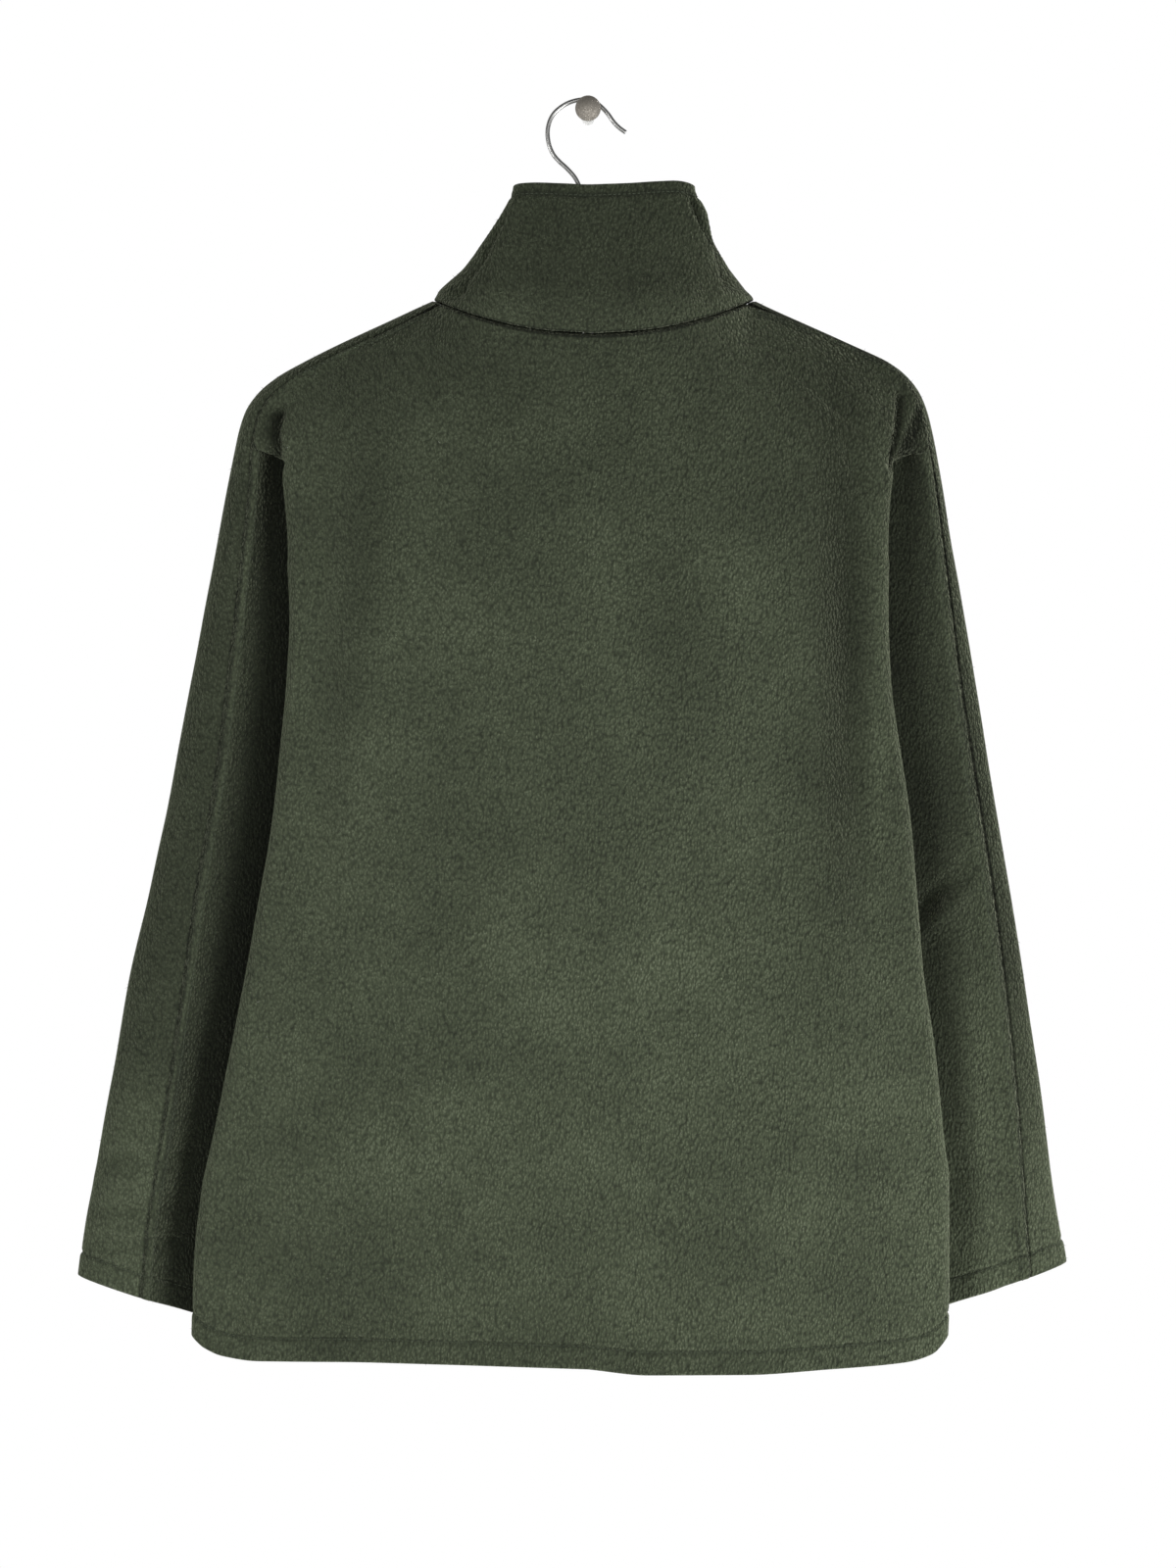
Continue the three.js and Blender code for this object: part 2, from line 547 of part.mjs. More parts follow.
/** Inner half of a sleeve, from the armhole to the cuff. */
function underSleeve(sideName) {
  const side = sideName === "left" ? -1 : 1;
  const rows = ARMHOLE[sideName];
  const grid = [];
  const places = [];
  for (const face of [BACK_SIDE, FRONT_SIDE]) {
    const seamName = face === BACK_SIDE ? "backSeam" : "frontSeam";
    const half = rows.map((row, i) => ({
      face, seamName, topZ: row.z - SEAM_GAP - (i === 1 ? LEVEL_SEAM_DROP : 0.2),
      share: i === rows.length - 1 ? 1 : armholeShare(sideName, face, row),
    }));
    half[0].share = 0;
    places.push(...(face === BACK_SIDE ? half : half.slice(0, -1).reverse()));
  }
  for (const share of CUFF_ROWS) {
    grid.push(places.map((place) => {
      let z = mix(CUFF[sideName].outerZ, place.topZ, share);
      let point = new THREE.Vector3();
      for (let pass = 0; pass < 3; pass += 1) {
        const station = sleeveStation(sideName, z);
        const seamInset = station[place.seamName] + SEAM_GAP;
        const noseInset = station.outer - station.inner;
        const inset = mix(seamInset, noseInset, place.share);
        const x = station.outer - inset;
        point = new THREE.Vector3(side * x, MIDDLE_Y + place.face * sleeveDepth(station, inset), z);
        z = mix(cuffZ(sideName, x), place.topZ, share);
        if (place.share === 0) {
          const depthOf = (at) => sleeveDepth(station, at);
          point.facing = seamFacing(side, place.face, LEVEL_INWARD, depthOf, inset - SEAM_GAP);
        }
      }
      return point;
    }));
  }
  const wallAt = (i) => (i < 2 ? HEM_WALL - 0.6 : CLOTH);
  return wall(grid, wallAt, side < 0);
}

/** Depth added by the hollows and rises of one face at a point. */
function foldDepth(faceName, x, z) {
  let depth = 0;
  for (const fold of FOLDS[faceName]) {
    const along = (z - fold.z) / fold.along;
    const across = (x - fold.x - fold.lean * (z - fold.z)) / fold.across;
    depth -= fold.sunk * Math.exp(-across * across - along * along);
  }
  return depth;
}

const seamCache = new Map();

/** Seam of one face along the whole shoulder ridge, just inside the top sleeve's edge. */
function wholeSeam(sideName, face) {
  const name = `${sideName}${face}`;
  if (!seamCache.has(name)) {
    const side = sideName === "left" ? -1 : 1;
    const points = [];
    const steps = SHOULDER[sideName].length - 1;
    for (let k = 0; k <= steps; k += 1) {
      const station = shoulderStation(sideName, k / steps);
      const inset = face === BACK_SIDE ? station.backSeam : station.frontSeam;
      const x = station.x + station.inward.x * (inset + SEAM_GAP);
      const z = station.z + station.inward.y * (inset + SEAM_GAP);
      const depth = ridgeDepth(station, inset);
      const depthOf = (at) => ridgeDepth(station, at);
      const facing = seamFacing(side, face, station.inward, depthOf, inset);
      points.push({ x, z, depth, inset, arch: station.arch, facing });
    }
    const last = points[steps];
    const end = neckAtDepth(side, face, last.depth);
    last.x = side * end.x;
    last.z = end.z - 2 * SEAM_GAP;
    seamCache.set(name, points);
  }
  return seamCache.get(name);
}

/** The part of the seam that is the top edge of a torso panel, from the tip to the neck. */
function shoulderSeam(sideName, face) {
  return wholeSeam(sideName, face).slice(TIP_STATION);
}

/** Point of the shoulder seam at a sideways distance. */
function seamAt(seam, x) {
  const at = clamp(x, seam[seam.length - 1].x, seam[0].x);
  let i = 0;
  while (i < seam.length - 2 && seam[i + 1].x > at) {
    i += 1;
  }
  const share = (seam[i].x - at) / (seam[i].x - seam[i + 1].x);
  const point = { facing: seam[i].facing.clone().lerp(seam[i + 1].facing, share).normalize() };
  for (const key of ["z", "depth", "inset", "arch"]) {
    point[key] = mix(seam[i][key], seam[i + 1][key], share);
  }
  return point;
}

/** Top edge of a torso panel: the neck ring, then the shoulder seam down to its tip. */
function topEdge(sideName, face, x) {
  const side = sideName === "left" ? -1 : 1;
  const seam = shoulderSeam(sideName, face);
  if (x >= seam[seam.length - 1].x) {
    return seamAt(seam, x);
  }
  const reach = (x - side * NECK.centreX) / (NECK.halfWidth + SEAM_GAP);
  const turned = Math.abs(Math.asin(clamp(reach, -1, 1)) * 180 / Math.PI);
  const point = neckPoint(side, face === BACK_SIDE ? turned : 180 - turned, SEAM_GAP);
  return { z: point.z - SEAM_GAP, depth: Math.abs(point.y - MIDDLE_Y), inset: 0, arch: 0 };
}

/** Side edge of a torso panel at a height: sideways distance and depth of the cloth's end. */
function sideEdge(sideName, face, z) {
  if (z > JUNCTION_Z) {
    const seam = wholeSeam(sideName, face);
    return { x: read(seam, "x", "z", z), depth: read(seam, "depth", "z", z), curl: 0 };
  }
  if (z < ARMPIT_Z) {
    const valley = read(TORSO[sideName], "valley", "z", z);
    return { x: valley, depth: SEAM_GAP / 2, curl: FLAP_DEPTH, curlDepth: FLAP_DEPTH };
  }
  const station = sleeveStation(sideName, z);
  const opened = easeInOut((z - ARMPIT_Z) / 35);
  const seam = station.outer - (face === BACK_SIDE ? station.backSeam : station.frontSeam);
  const x = Math.min(read(ARMHOLE[sideName], "x", "z", z), seam - SEAM_GAP);
  const depth = sleeveDepth(station, station.outer - x) + SEAM_GAP + 0.5;
  return { x: x - (1 - opened) * ARMPIT_DRAW, depth, curl: mix(FLAP_DEPTH, 2, opened),
    curlDepth: Math.max(depth, mix(FLAP_DEPTH, SLEEVE_NOSE + 1.2, opened)) };
}

/** Depth of the spread cloth of one face at a sideways distance and height. */
function spreadDepth(sideName, face, x, z) {
  const side = sideName === "left" ? -1 : 1;
  const faceName = face === BACK_SIDE ? "back" : "front";
  const fold = read(TORSO[sideName], "fold", "z", z);
  const centre = read(DEPTH[faceName], "centre", "z", z);
  const edge = read(DEPTH[faceName], "edge", "z", z);
  const share = clamp(Math.abs(x) / fold, 0, 1);
  const full = mix(centre, edge, share ** 2.2) + foldDepth(faceName, side * x, z);
  const top = topEdge(sideName, face, x);
  const below = Math.max(0, top.z - z);
  let start = top.depth;
  if (top.arch > 0) {
    const station = { arch: top.arch, half: SHOULDER.left[0].half };
    start = ridgeDepth(station, top.inset + below * 0.9);
  }
  return mix(start, full, 1 - Math.exp(-below / 42));
}

/** Path of one half row of a torso panel, from x = start out to the fold and in to its end. */
function halfRow(sideName, face, share, edgeZ, start) {
  const hem = HEM[sideName];
  const hemEnd = hem[hem.length - 1];
  const side = sideName === "left" ? -1 : 1;
  const tipX = shoulderSeam(sideName, face)[0].x;
  const heightAt = (x) => {
    const bottom = read(hem, "z", "x", Math.min(x, hemEnd.x));
    return mix(bottom, topEdge(sideName, face, Math.min(x, tipX)).z, share);
  };
  const inset = face === FRONT_SIDE ? 3 : 0;
  const fold = read(TORSO[sideName], "fold", "z", edgeZ) - inset;
  const beside = spreadDepth(sideName, face, fold - FLAP_DEPTH, heightAt(fold - FLAP_DEPTH));
  const opened = easeInOut((edgeZ - OPEN_ROLL[0].z) / (OPEN_ROLL[1].z - OPEN_ROLL[0].z));
  const roll = mix((beside - FLAP_DEPTH) / 2, read(OPEN_ROLL, "roll", "z", edgeZ), opened);
  const end = sideEdge(sideName, face, edgeZ);
  const mainEnd = fold - roll;
  const path = [];
  const steps = 60;
  let reached = 0;
  const place = (x, depth) => {
    reached = Math.max(reached, x);
    path.push(new THREE.Vector3(side * x, MIDDLE_Y + face * depth, heightAt(reached)));
  };
  for (let k = 0; k <= steps; k += 1) {
    const x = mix(start, mainEnd, k / steps);
    place(x, spreadDepth(sideName, face, x, heightAt(x)));
  }
  const topDepth = spreadDepth(sideName, face, mainEnd, heightAt(mainEnd));
  const centre = { x: mainEnd, depth: topDepth - roll };
  const turnsIn = end.x < mainEnd;
  const curl = turnsIn ? { x: end.x + end.curl, depth: end.curlDepth } : end;
  const toX = curl.x - centre.x;
  const toDepth = curl.depth - centre.depth;
  const distance = Math.hypot(toX, toDepth);
  const tangent = Math.atan2(toDepth, toX) + Math.acos(clamp(roll / distance, -1, 1));
  const wrap = clamp(Math.PI / 2 - tangent, 0, Math.PI * 1.05);
  const arcSteps = 40;
  for (let k = 1; k <= arcSteps; k += 1) {
    const angle = Math.PI / 2 - wrap * k / arcSteps;
    place(centre.x + roll * Math.cos(angle), centre.depth + roll * Math.sin(angle));
  }
  const from = { x: centre.x + roll * Math.cos(Math.PI / 2 - wrap),
    depth: centre.depth + roll * Math.sin(Math.PI / 2 - wrap) };
  const lineSteps = 20;
  for (let k = 1; k <= lineSteps; k += 1) {
    place(mix(from.x, curl.x, k / lineSteps), mix(from.depth, curl.depth, k / lineSteps));
  }
  if (turnsIn) {
    for (let k = 1; k <= lineSteps; k += 1) {
      const angle = Math.PI / 2 * k / lineSteps;
      place(curl.x - (curl.x - end.x) * Math.sin(angle),
        end.depth + (curl.depth - end.depth) * Math.cos(angle));
    }
  }
  return path;
}

/** Heights of the torso rows at the side edge, from the hem to the shoulder tip. */
function torsoHeights(sideName, face) {
  const bottom = HEM[sideName][HEM[sideName].length - 1].z;
  const low = [0, HEM_DEPTH - 1, HEM_DEPTH + 1, 60, 110, 160, 210, 260, 310, 355, 388]
    .map((up) => bottom + up);
  const armhole = ARMHOLE[sideName].map((row) => row.z).reverse();
  const seam = wholeSeam(sideName, face);
  const onShoulder = seam.slice(1, TIP_STATION + 1).map((point) => point.z);
  return [...low, ...armhole, ...onShoulder];
}

/** Grid rows of one half of a torso panel. */
function torsoHalf(sideName, face, start, columns) {
  const side = sideName === "left" ? -1 : 1;
  const heights = torsoHeights(sideName, face);
  const bottom = heights[0];
  const tipZ = heights[heights.length - 1];
  const seam = wholeSeam(sideName, face);
  const grid = heights.map((z) => {
    const row = spread(halfRow(sideName, face, (z - bottom) / (tipZ - bottom), z, start), columns);
    if (z > JUNCTION_Z) {
      row[columns].facing = seam.find((point) => point.z >= z - 1).facing;
    }
    return row;
  });
  const topSeam = shoulderSeam(sideName, face);
  const neck = topSeam[topSeam.length - 1];
  const topRow = grid[grid.length - 1];
  const away = (point) => Math.abs(side * point.x - neck.x);
  const corner = topRow.reduce((best, point) => (away(point) < away(best) ? point : best));
  corner.set(side * neck.x, MIDDLE_Y + face * neck.depth, neck.z);
  for (const point of topRow) {
    if (side * point.x >= neck.x) {
      point.facing = seamAt(topSeam, side * point.x).facing;
    }
  }
  return grid;
}

const BACK_COLUMNS = 24;
const FRONT_COLUMNS = 22;
const hemWall = (i) => (i < 2 ? HEM_WALL : CLOTH);

function backPanel() {
  const left = torsoHalf("left", BACK_SIDE, 0, BACK_COLUMNS);
  const right = torsoHalf("right", BACK_SIDE, 0, BACK_COLUMNS);
  const grid = left.map((row, i) => [...row.slice(1).reverse(), ...right[i]]);
  return wall(grid, hemWall, true);
}

function frontPanel(sideName) {
  const grid = torsoHalf(sideName, FRONT_SIDE, ZIP.halfGap, FRONT_COLUMNS);
  return wall(grid, hemWall, sideName === "left");
}

/** One thread of the collar at a share of its height. */
function collarPoint(side, thread, share) {
  const base = neckPoint(side, thread.turn, 0);
  const cosine = Math.cos(radians(thread.turn));
  const topZ = thread.turn < 90 ? mix(COLLAR.sideTopZ, COLLAR.backTopZ, cosine)
    : mix(COLLAR.sideTopZ, COLLAR.frontTopZ, cosine * cosine);
  const taken = 1 - (1 - share) ** COLLAR.lean;
  const topX = COLLAR.topX + side * thread.topX;
  const unfoldedX = COLLAR.topX + side * COLLAR.unfolded;
  const targetX = thread.fold > 0 ? mix(unfoldedX, topX, easeInOut(share * 1.15)) : topX;
  const x = mix(base.x, targetX, taken);
  const depth = mix(MIDDLE_Y - base.y, thread.topDepth, taken);
  return new THREE.Vector3(x, MIDDLE_Y - depth, mix(base.z, topZ, share));
}

const COLLAR_ROWS = [0, 0.1, 0.22, 0.36, 0.5, 0.64, 0.78, 0.9, 1];
const COLLAR_COLUMNS = 25;

function collar() {
  const grid = COLLAR_ROWS.map((share) => {
    const half = (side) => {
      const threads = COLLAR_THREADS.map((thread) => collarPoint(side, thread, share));
      const frontZ = mix(NECK.sideZ - NECK.frontDrop, COLLAR.frontTopZ, share);
      const frontDepth = mix(NECK.frontDepth, COLLAR.frontTopDepth, 1 - (1 - share) ** COLLAR.lean);
      const edgeX = side * ZIP.halfGap;
      threads.push(new THREE.Vector3(edgeX, MIDDLE_Y + frontDepth, frontZ));
      const curve = new THREE.CatmullRomCurve3(threads, false, "centripetal");
      return spread(curve.getPoints(240), COLLAR_COLUMNS);
    };
    return [...half(-1).slice(1).reverse(), ...half(1)];
  });
  for (const point of grid[0]) {
    const depth = point.y - MIDDLE_Y;
    const across = (point.x - NECK.centreX) / NECK.halfWidth ** 2;
    const ringDepth = depth < 0 ? NECK.backDepth : NECK.frontDepth;
    point.facing = new THREE.Vector3(across, depth / ringDepth ** 2, 0).normalize();
  }
  return wall(grid, () => COLLAR_WALL, true);
}

/** Depth and height of the front edges from the hem to the top of the collar. */
function zipLine() {
  const points = [];
  const hemZ = HEM.right[0].z + 1;
  const neckZ = NECK.sideZ - NECK.frontDrop;
  for (let k = 0; k <= 14; k += 1) {
    const z = mix(hemZ, neckZ, k / 14);
    points.push({ z, depth: spreadDepth("right", FRONT_SIDE, 0, z) });
  }
  for (let k = 1; k <= 6; k += 1) {
    const share = k / 6;
    points.push({ z: mix(neckZ, COLLAR.frontTopZ, share),
      depth: mix(NECK.frontDepth, COLLAR.frontTopDepth, 1 - (1 - share) ** COLLAR.lean) });
  }
  return points;
}

function zipStrip() {
  const grid = zipLine().map(({ depth, z }) => [-1, 1].map((edge) => (
    new THREE.Vector3(edge * ZIP.halfWidth, MIDDLE_Y + depth - 0.4, z))));
  return wall(grid, () => ZIP.wall, false);
}

/** Slider on the closed zip, with the hoop that its pull tab hangs from. */
function slider() {
  const { width, height, depth, hoopDepth, hoopHeight, hoopWall } = SLIDER;
  const outline = new THREE.Shape();
  const hoopTop = height / 2 + hoopHeight / 2;
  const hoopBottom = height / 2 - hoopHeight / 2;
  outline.moveTo(0, 0);
  outline.lineTo(depth, 0.8);
  outline.lineTo(depth, hoopBottom);
  outline.lineTo(depth + hoopDepth, hoopBottom + 0.6);
  outline.lineTo(depth + hoopDepth, hoopTop - 0.6);
  outline.lineTo(depth, hoopTop);
  outline.lineTo(depth, height - 0.8);
  outline.lineTo(0, height);
  outline.closePath();
  const opening = new THREE.Path();
  opening.moveTo(depth + 0.2, hoopBottom + hoopWall);
  opening.lineTo(depth + 0.2, hoopTop - hoopWall);
  opening.lineTo(depth + hoopDepth - hoopWall, hoopTop - hoopWall - 0.4);
  opening.lineTo(depth + hoopDepth - hoopWall, hoopBottom + hoopWall + 0.4);
  opening.closePath();
  outline.holes.push(opening);
  const geometry = new THREE.ExtrudeGeometry(outline, { depth: width, bevelEnabled: false });
  const turn = new THREE.Matrix4().makeBasis(new THREE.Vector3(0, 1, 0),
    new THREE.Vector3(0, 0, 1), new THREE.Vector3(1, 0, 0));
  geometry.applyMatrix4(turn);
  geometry.translate(-width / 2, MIDDLE_Y + SLIDER_PLACE.depth, SLIDER_PLACE.z - height);
  return geometry;
}

/** Flat pull tab that hangs from the slider's hoop by the bar above its hole. */
function pullTab() {
  const { width, length, wall: thick, holeWidth, holeHeight, topBar } = TAB;
  const outline = new THREE.Shape();
  outline.moveTo(-width / 2, 0);
  outline.lineTo(-width / 2, -length + 3);
  outline.lineTo(-width / 2 + 3, -length);
  outline.lineTo(width / 2 - 3, -length);
  outline.lineTo(width / 2, -length + 3);
  outline.lineTo(width / 2, 0);
  outline.closePath();
  const opening = new THREE.Path();
  opening.moveTo(-holeWidth / 2, -topBar);
  opening.lineTo(-holeWidth / 2, -topBar - holeHeight);
  opening.lineTo(holeWidth / 2, -topBar - holeHeight);
  opening.lineTo(holeWidth / 2, -topBar);
  opening.closePath();
  outline.holes.push(opening);
  const geometry = new THREE.ExtrudeGeometry(outline, { depth: thick, bevelEnabled: false });
  const turn = new THREE.Matrix4().makeBasis(new THREE.Vector3(1, 0, 0),
    new THREE.Vector3(0, 0, 1), new THREE.Vector3(0, -1, 0));
  geometry.applyMatrix4(turn);
  const barZ = SLIDER_PLACE.z - SLIDER.height / 2;
  const barY = MIDDLE_Y + SLIDER_PLACE.depth + SLIDER.depth + 2.2;
  geometry.translate(0, barY, barZ + topBar / 2);
  return geometry;
}

/** Height of the hanger's top line at a sideways distance. */
function hangerTop(sideName, x) {
  const rows = SHOULDER[sideName];
  const neck = rows[rows.length - 1];
  if (x > neck.x + 12) {
    const along = easeInOut((x - neck.x - 12) / 30);
    return read(rows, "z", "x", x) - mix(HANGER.belowNeck, HANGER.belowRidge, along);
  }
  const edge = read(rows, "z", "x", neck.x + 12) - HANGER.belowNeck;
  const soft = (distance) => Math.hypot(distance, 24) - 24;
  return mix(HANGER.centreZ, edge, soft(x) / soft(neck.x + 12));
}

function hanger() {
  const places = [-1, -0.99, -0.97, -0.92, -0.8, -0.66, -0.5, -0.34, -0.18, -0.07, 0];
  const all = [...places, ...places.slice(0, -1).reverse().map((place) => -place)];
  const sides = 12;
  const rings = all.map((place) => {
    const sideName = place < 0 ? "left" : "right";
    const x = Math.abs(place) * HANGER.reach;
    const end = Math.sqrt(clamp((1 - Math.abs(place)) / 0.05, 0.03, 1));
    const topZ = hangerTop(sideName, x);
    const ring = [];
    for (let k = 0; k < sides; k += 1) {
      const angle = 2 * Math.PI * k / sides;
      ring.push(new THREE.Vector3(place * HANGER.reach,
        MIDDLE_Y + HANGER.halfDepth * end * Math.cos(angle),
        topZ - HANGER.halfHeight + HANGER.halfHeight * end * Math.sin(angle)));
    }
    return ring;
  });
  return lofted(rings);
}

function hook() {
  const line = new THREE.CatmullRomCurve3(
    HOOK_PATH.map((p) => new THREE.Vector3(p.x, MIDDLE_Y, p.z)), false, "centripetal");
  const count = 40;
  const sides = 8;
  const rings = [];
  for (let i = 0; i <= count; i += 1) {
    const centre = line.getPointAt(i / count);
    const along = line.getTangentAt(i / count);
    const across = new THREE.Vector3(0, 1, 0);
    const square = along.clone().cross(across).normalize();
    const ring = [];
    for (let k = 0; k < sides; k += 1) {
      const angle = 2 * Math.PI * k / sides;
      ring.push(centre.clone().addScaledVector(across, WIRE_RADIUS * Math.cos(angle))
        .addScaledVector(square, WIRE_RADIUS * Math.sin(angle)));
    }
    rings.push(ring);
  }
  return lofted(rings);
}

function wallPin() {
  const back = MIDDLE_Y - WIRE_RADIUS - 1;
  const profile = [
    { y: 0, r: PIN.plateRadius }, { y: -PIN.plateDepth, r: PIN.plateRadius },
    { y: -PIN.plateDepth - 0.6, r: PIN.shankRadius },
    { y: back, r: PIN.shankRadius }, { y: back - 0.4, r: PIN.headRadius - 0.8 },
    { y: back - 1.8, r: PIN.headRadius }, { y: back - 3.6, r: PIN.headRadius - 0.2 },
    { y: back - 6, r: PIN.headRadius - 2 }, { y: back - 7.6, r: PIN.headRadius - 4.4 },
    { y: back - 8.2, r: 2 },
  ];
  const sides = 24;
  const rings = profile.map(({ y, r }) => {
    const ring = [];
    for (let k = 0; k < sides; k += 1) {
      const angle = 2 * Math.PI * k / sides;
      ring.push(new THREE.Vector3(r * Math.cos(angle), y, r * Math.sin(angle)));
    }
    return ring;
  });
  return lofted(rings);
}

const fleece = { color: "#47503c", roughness: 0.95, metalness: 0 };
const steel = { color: "#b9b9b6", roughness: 0.25, metalness: 1 };
const zipCloth = { color: "#2c3128", roughness: 0.8, metalness: 0 };
const plastic = { color: "#23241f", roughness: 0.5, metalness: 0 };

const group = new THREE.Group();
group.name = "fleece_jacket";

function add(name, geometry, look) {
  const piece = new THREE.Mesh(geometry, new THREE.MeshStandardMaterial(look));
  piece.name = name;
  group.add(piece);
}

add("back", backPanel(), fleece);
add("front_left", frontPanel("left"), fleece);
add("front_right", frontPanel("right"), fleece);
add("top_sleeve_left", topSleeve("left"), fleece);
add("top_sleeve_right", topSleeve("right"), fleece);
add("under_sleeve_left", underSleeve("left"), fleece);
add("under_sleeve_right", underSleeve("right"), fleece);
add("collar", collar(), fleece);
add("zip", zipStrip(), zipCloth);
add("slider", slider(), steel);
add("pull_tab", pullTab(), steel);
add("hanger", hanger(), plastic);
add("hook", hook(), steel);
add("wall_pin", wallPin(), steel);

export default group;
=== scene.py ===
"""A fleece jacket hanging flat from a wall pin, seen from its back.

The cloth panels, their sewing and nap, the zip, the hanger, the wire hook and the wall pin are
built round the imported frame.  Sizes are in millimetres until a mesh is made, and a mesh is in
metres.  The wall is the plane y = 0 and the jacket hangs in front of it, at y < 0.
"""
import logging
import math
from dataclasses import dataclass, field
from enum import Enum
from typing import Any, Iterable, Sequence

import bmesh
import bpy
import numpy as np
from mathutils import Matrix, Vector


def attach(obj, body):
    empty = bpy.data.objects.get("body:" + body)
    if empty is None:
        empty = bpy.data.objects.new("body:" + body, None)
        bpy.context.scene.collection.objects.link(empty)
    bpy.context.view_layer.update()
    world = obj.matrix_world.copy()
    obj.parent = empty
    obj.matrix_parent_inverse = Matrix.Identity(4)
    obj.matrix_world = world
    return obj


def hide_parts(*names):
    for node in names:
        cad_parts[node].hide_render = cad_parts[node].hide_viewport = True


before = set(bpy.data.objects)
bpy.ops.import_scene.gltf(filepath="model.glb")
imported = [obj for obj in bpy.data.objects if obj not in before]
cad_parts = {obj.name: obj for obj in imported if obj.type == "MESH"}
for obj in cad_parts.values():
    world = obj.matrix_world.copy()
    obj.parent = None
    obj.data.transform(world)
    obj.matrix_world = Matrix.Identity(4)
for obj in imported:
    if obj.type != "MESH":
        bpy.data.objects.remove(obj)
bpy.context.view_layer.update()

log = logging.getLogger("jacket")

Array = np.ndarray
Item = bpy.types.Object
Tree = bpy.types.NodeTree
Socket = bpy.types.NodeSocket
Faces = list[tuple[int, ...]]

METRES = 0.001
GARMENT = "garment"
# Depth of the jacket's middle plane, which the wire hook lies in.
MIDDLE_Y = -46.0
# Gap left between neighbouring panels, and walls of plain cloth, of hems and of the collar.
SEAM_GAP = 0.35
CLOTH = 2.2
HEM_WALL = 4.0
COLLAR_WALL = 3.0
THINNEST = 0.5
# Distances of the sewing from the edge of a panel, and of the fronts from the zip's middle.
HEM_DEPTH = 16.0
COLLAR_STITCH = 8.0
TUCK = 1.6
STITCHED = TUCK + 6.4
ZIP_EDGE = 3.35
# Painted shade in the groove between two panels, and how hard a hem's stitches press the nap.
SEAM_SHADE = 0.5
HEM_PRESS = 0.3
# Rise of the turned hem and of a stitched allowance, and the middle of the allowance.
HEM_RISE = 0.45
ALLOWANCE_RISE = 1.7
ALLOWANCE_AT = TUCK + 3.2
# How far creases and waves of the cloth stay away from its edges.
CREASE_FADE = 7.0
WAVE_FADE = 30.0
WAVE_COUNT = 14
WAVE_LENGTHS = (34, 120)
WAVE_HEIGHT = 0.13
# Hollow of the under sleeve beside its stitched seams.
HOLLOW_AT = 20.0
HOLLOW_REACH = 11.0
# Half thickness of the sleeve's inner end, and depth of the torso's cloth turned in beside it.
SLEEVE_NOSE = 6.0
FLAP_DEPTH = 7.2
# Armpit, how far the cloth draws in there, and the height over which the armhole opens.
ARMPIT_Z = -400.0
ARMPIT_DRAW = 2.6
ARMHOLE_OPENS = 35.0
# Sleeve head, where the level rows of the sleeve end, and the shoulder's tip along the ridge.
JUNCTION_Z = -227.0
TIP_SHARE = 5 / 9
SHOULDER_HALF = 12.0
# Rows of points up a hem: close at its rounded end and at its stitches.
HEM_STEPS = ((0, 2, 0.5), (2, 13, 2.2), (13, 19, 0.75))


class Side(Enum):
    """The wearer's side, with the sign of its x."""

    LEFT = -1
    RIGHT = 1


class Face(Enum):
    """Back or front of the hanging jacket, with the sign of its depth along y."""

    BACK = -1
    FRONT = 1


class Edge(Enum):
    """How one edge of a panel is finished."""

    PLAIN_SEAM = "plain seam"
    STITCHED_SEAM = "seam with its allowance stitched down beside it"
    HEM = "turned hem"
    TOP = "stitched top of the collar"
    ZIP = "edge beside the zip"


@dataclass(frozen=True)
class Groove:
    """Groove that a row of stitches presses into the cloth."""

    at: float
    deep: float
    reach: float


ROLLS = {Edge.PLAIN_SEAM: 1.2, Edge.STITCHED_SEAM: 1.6, Edge.HEM: 1.5, Edge.TOP: 1.4,
         Edge.ZIP: 0.9}
GROOVES = {Edge.HEM: Groove(HEM_DEPTH, 0.9, 1.5), Edge.TOP: Groove(COLLAR_STITCH, 0.8, 1.4),
           Edge.STITCHED_SEAM: Groove(STITCHED, 0.5, 1.2)}


class Table:
    """Rows of named columns, read along a smooth curve that never overshoots a row."""

    def __init__(self, columns: str, rows: Sequence[Sequence[float]]) -> None:
        """Keeps the rows in rising order of their first column.

        Args:
            columns: names of the columns, the first being the one they are read by.
            rows: one sequence of numbers a row.
        """
        names = columns.split()
        values = np.array(sorted(rows), float)
        self.key = values[:, 0]
        self.columns = {name: values[:, i] for i, name in enumerate(names)}

    def read(self, column: str, at: Array | float) -> Array:
        """Reads a column.

        Args:
            column: name of the column.
            at: places on the first column.

        Returns:
            The column's values there.
        """
        key, value = self.key, self.columns[column]
        place = np.clip(at, key[0], key[-1])
        i = np.searchsorted(key[1:-1], place, side="left")
        slopes = np.diff(value) / np.diff(key)
        here = slopes[i]
        before = slopes[np.maximum(i - 1, 0)]
        after = slopes[np.minimum(i + 1, len(slopes) - 1)]
        start = self._between(before, here)
        end = self._between(here, after)
        span = key[i + 1] - key[i]
        u = (place - key[i]) / span
        tail = u - 1
        return (value[i] * (1 + 2 * u) * tail**2 + value[i + 1] * u * u * (3 - 2 * u)
                + start * span * u * tail**2 + end * span * u * u * tail)

    @staticmethod
    def _between(a: Array, b: Array) -> Array:
        """Slope at a row from the slopes on its two sides, nought at a turn."""
        same = a * b > 0
        return np.where(same, 2 * a * b / np.where(same, a + b, 1), 0)


def mix(a: Array | float, b: Array | float, share: Array | float) -> Array:
    """Value a share of the way from a to b."""
    return a + (b - a) * share


def ease(share: Array | float) -> Array:
    """Smooth step from 0 to 1."""
    s = np.clip(share, 0, 1)
    return s * s * (3 - 2 * s)


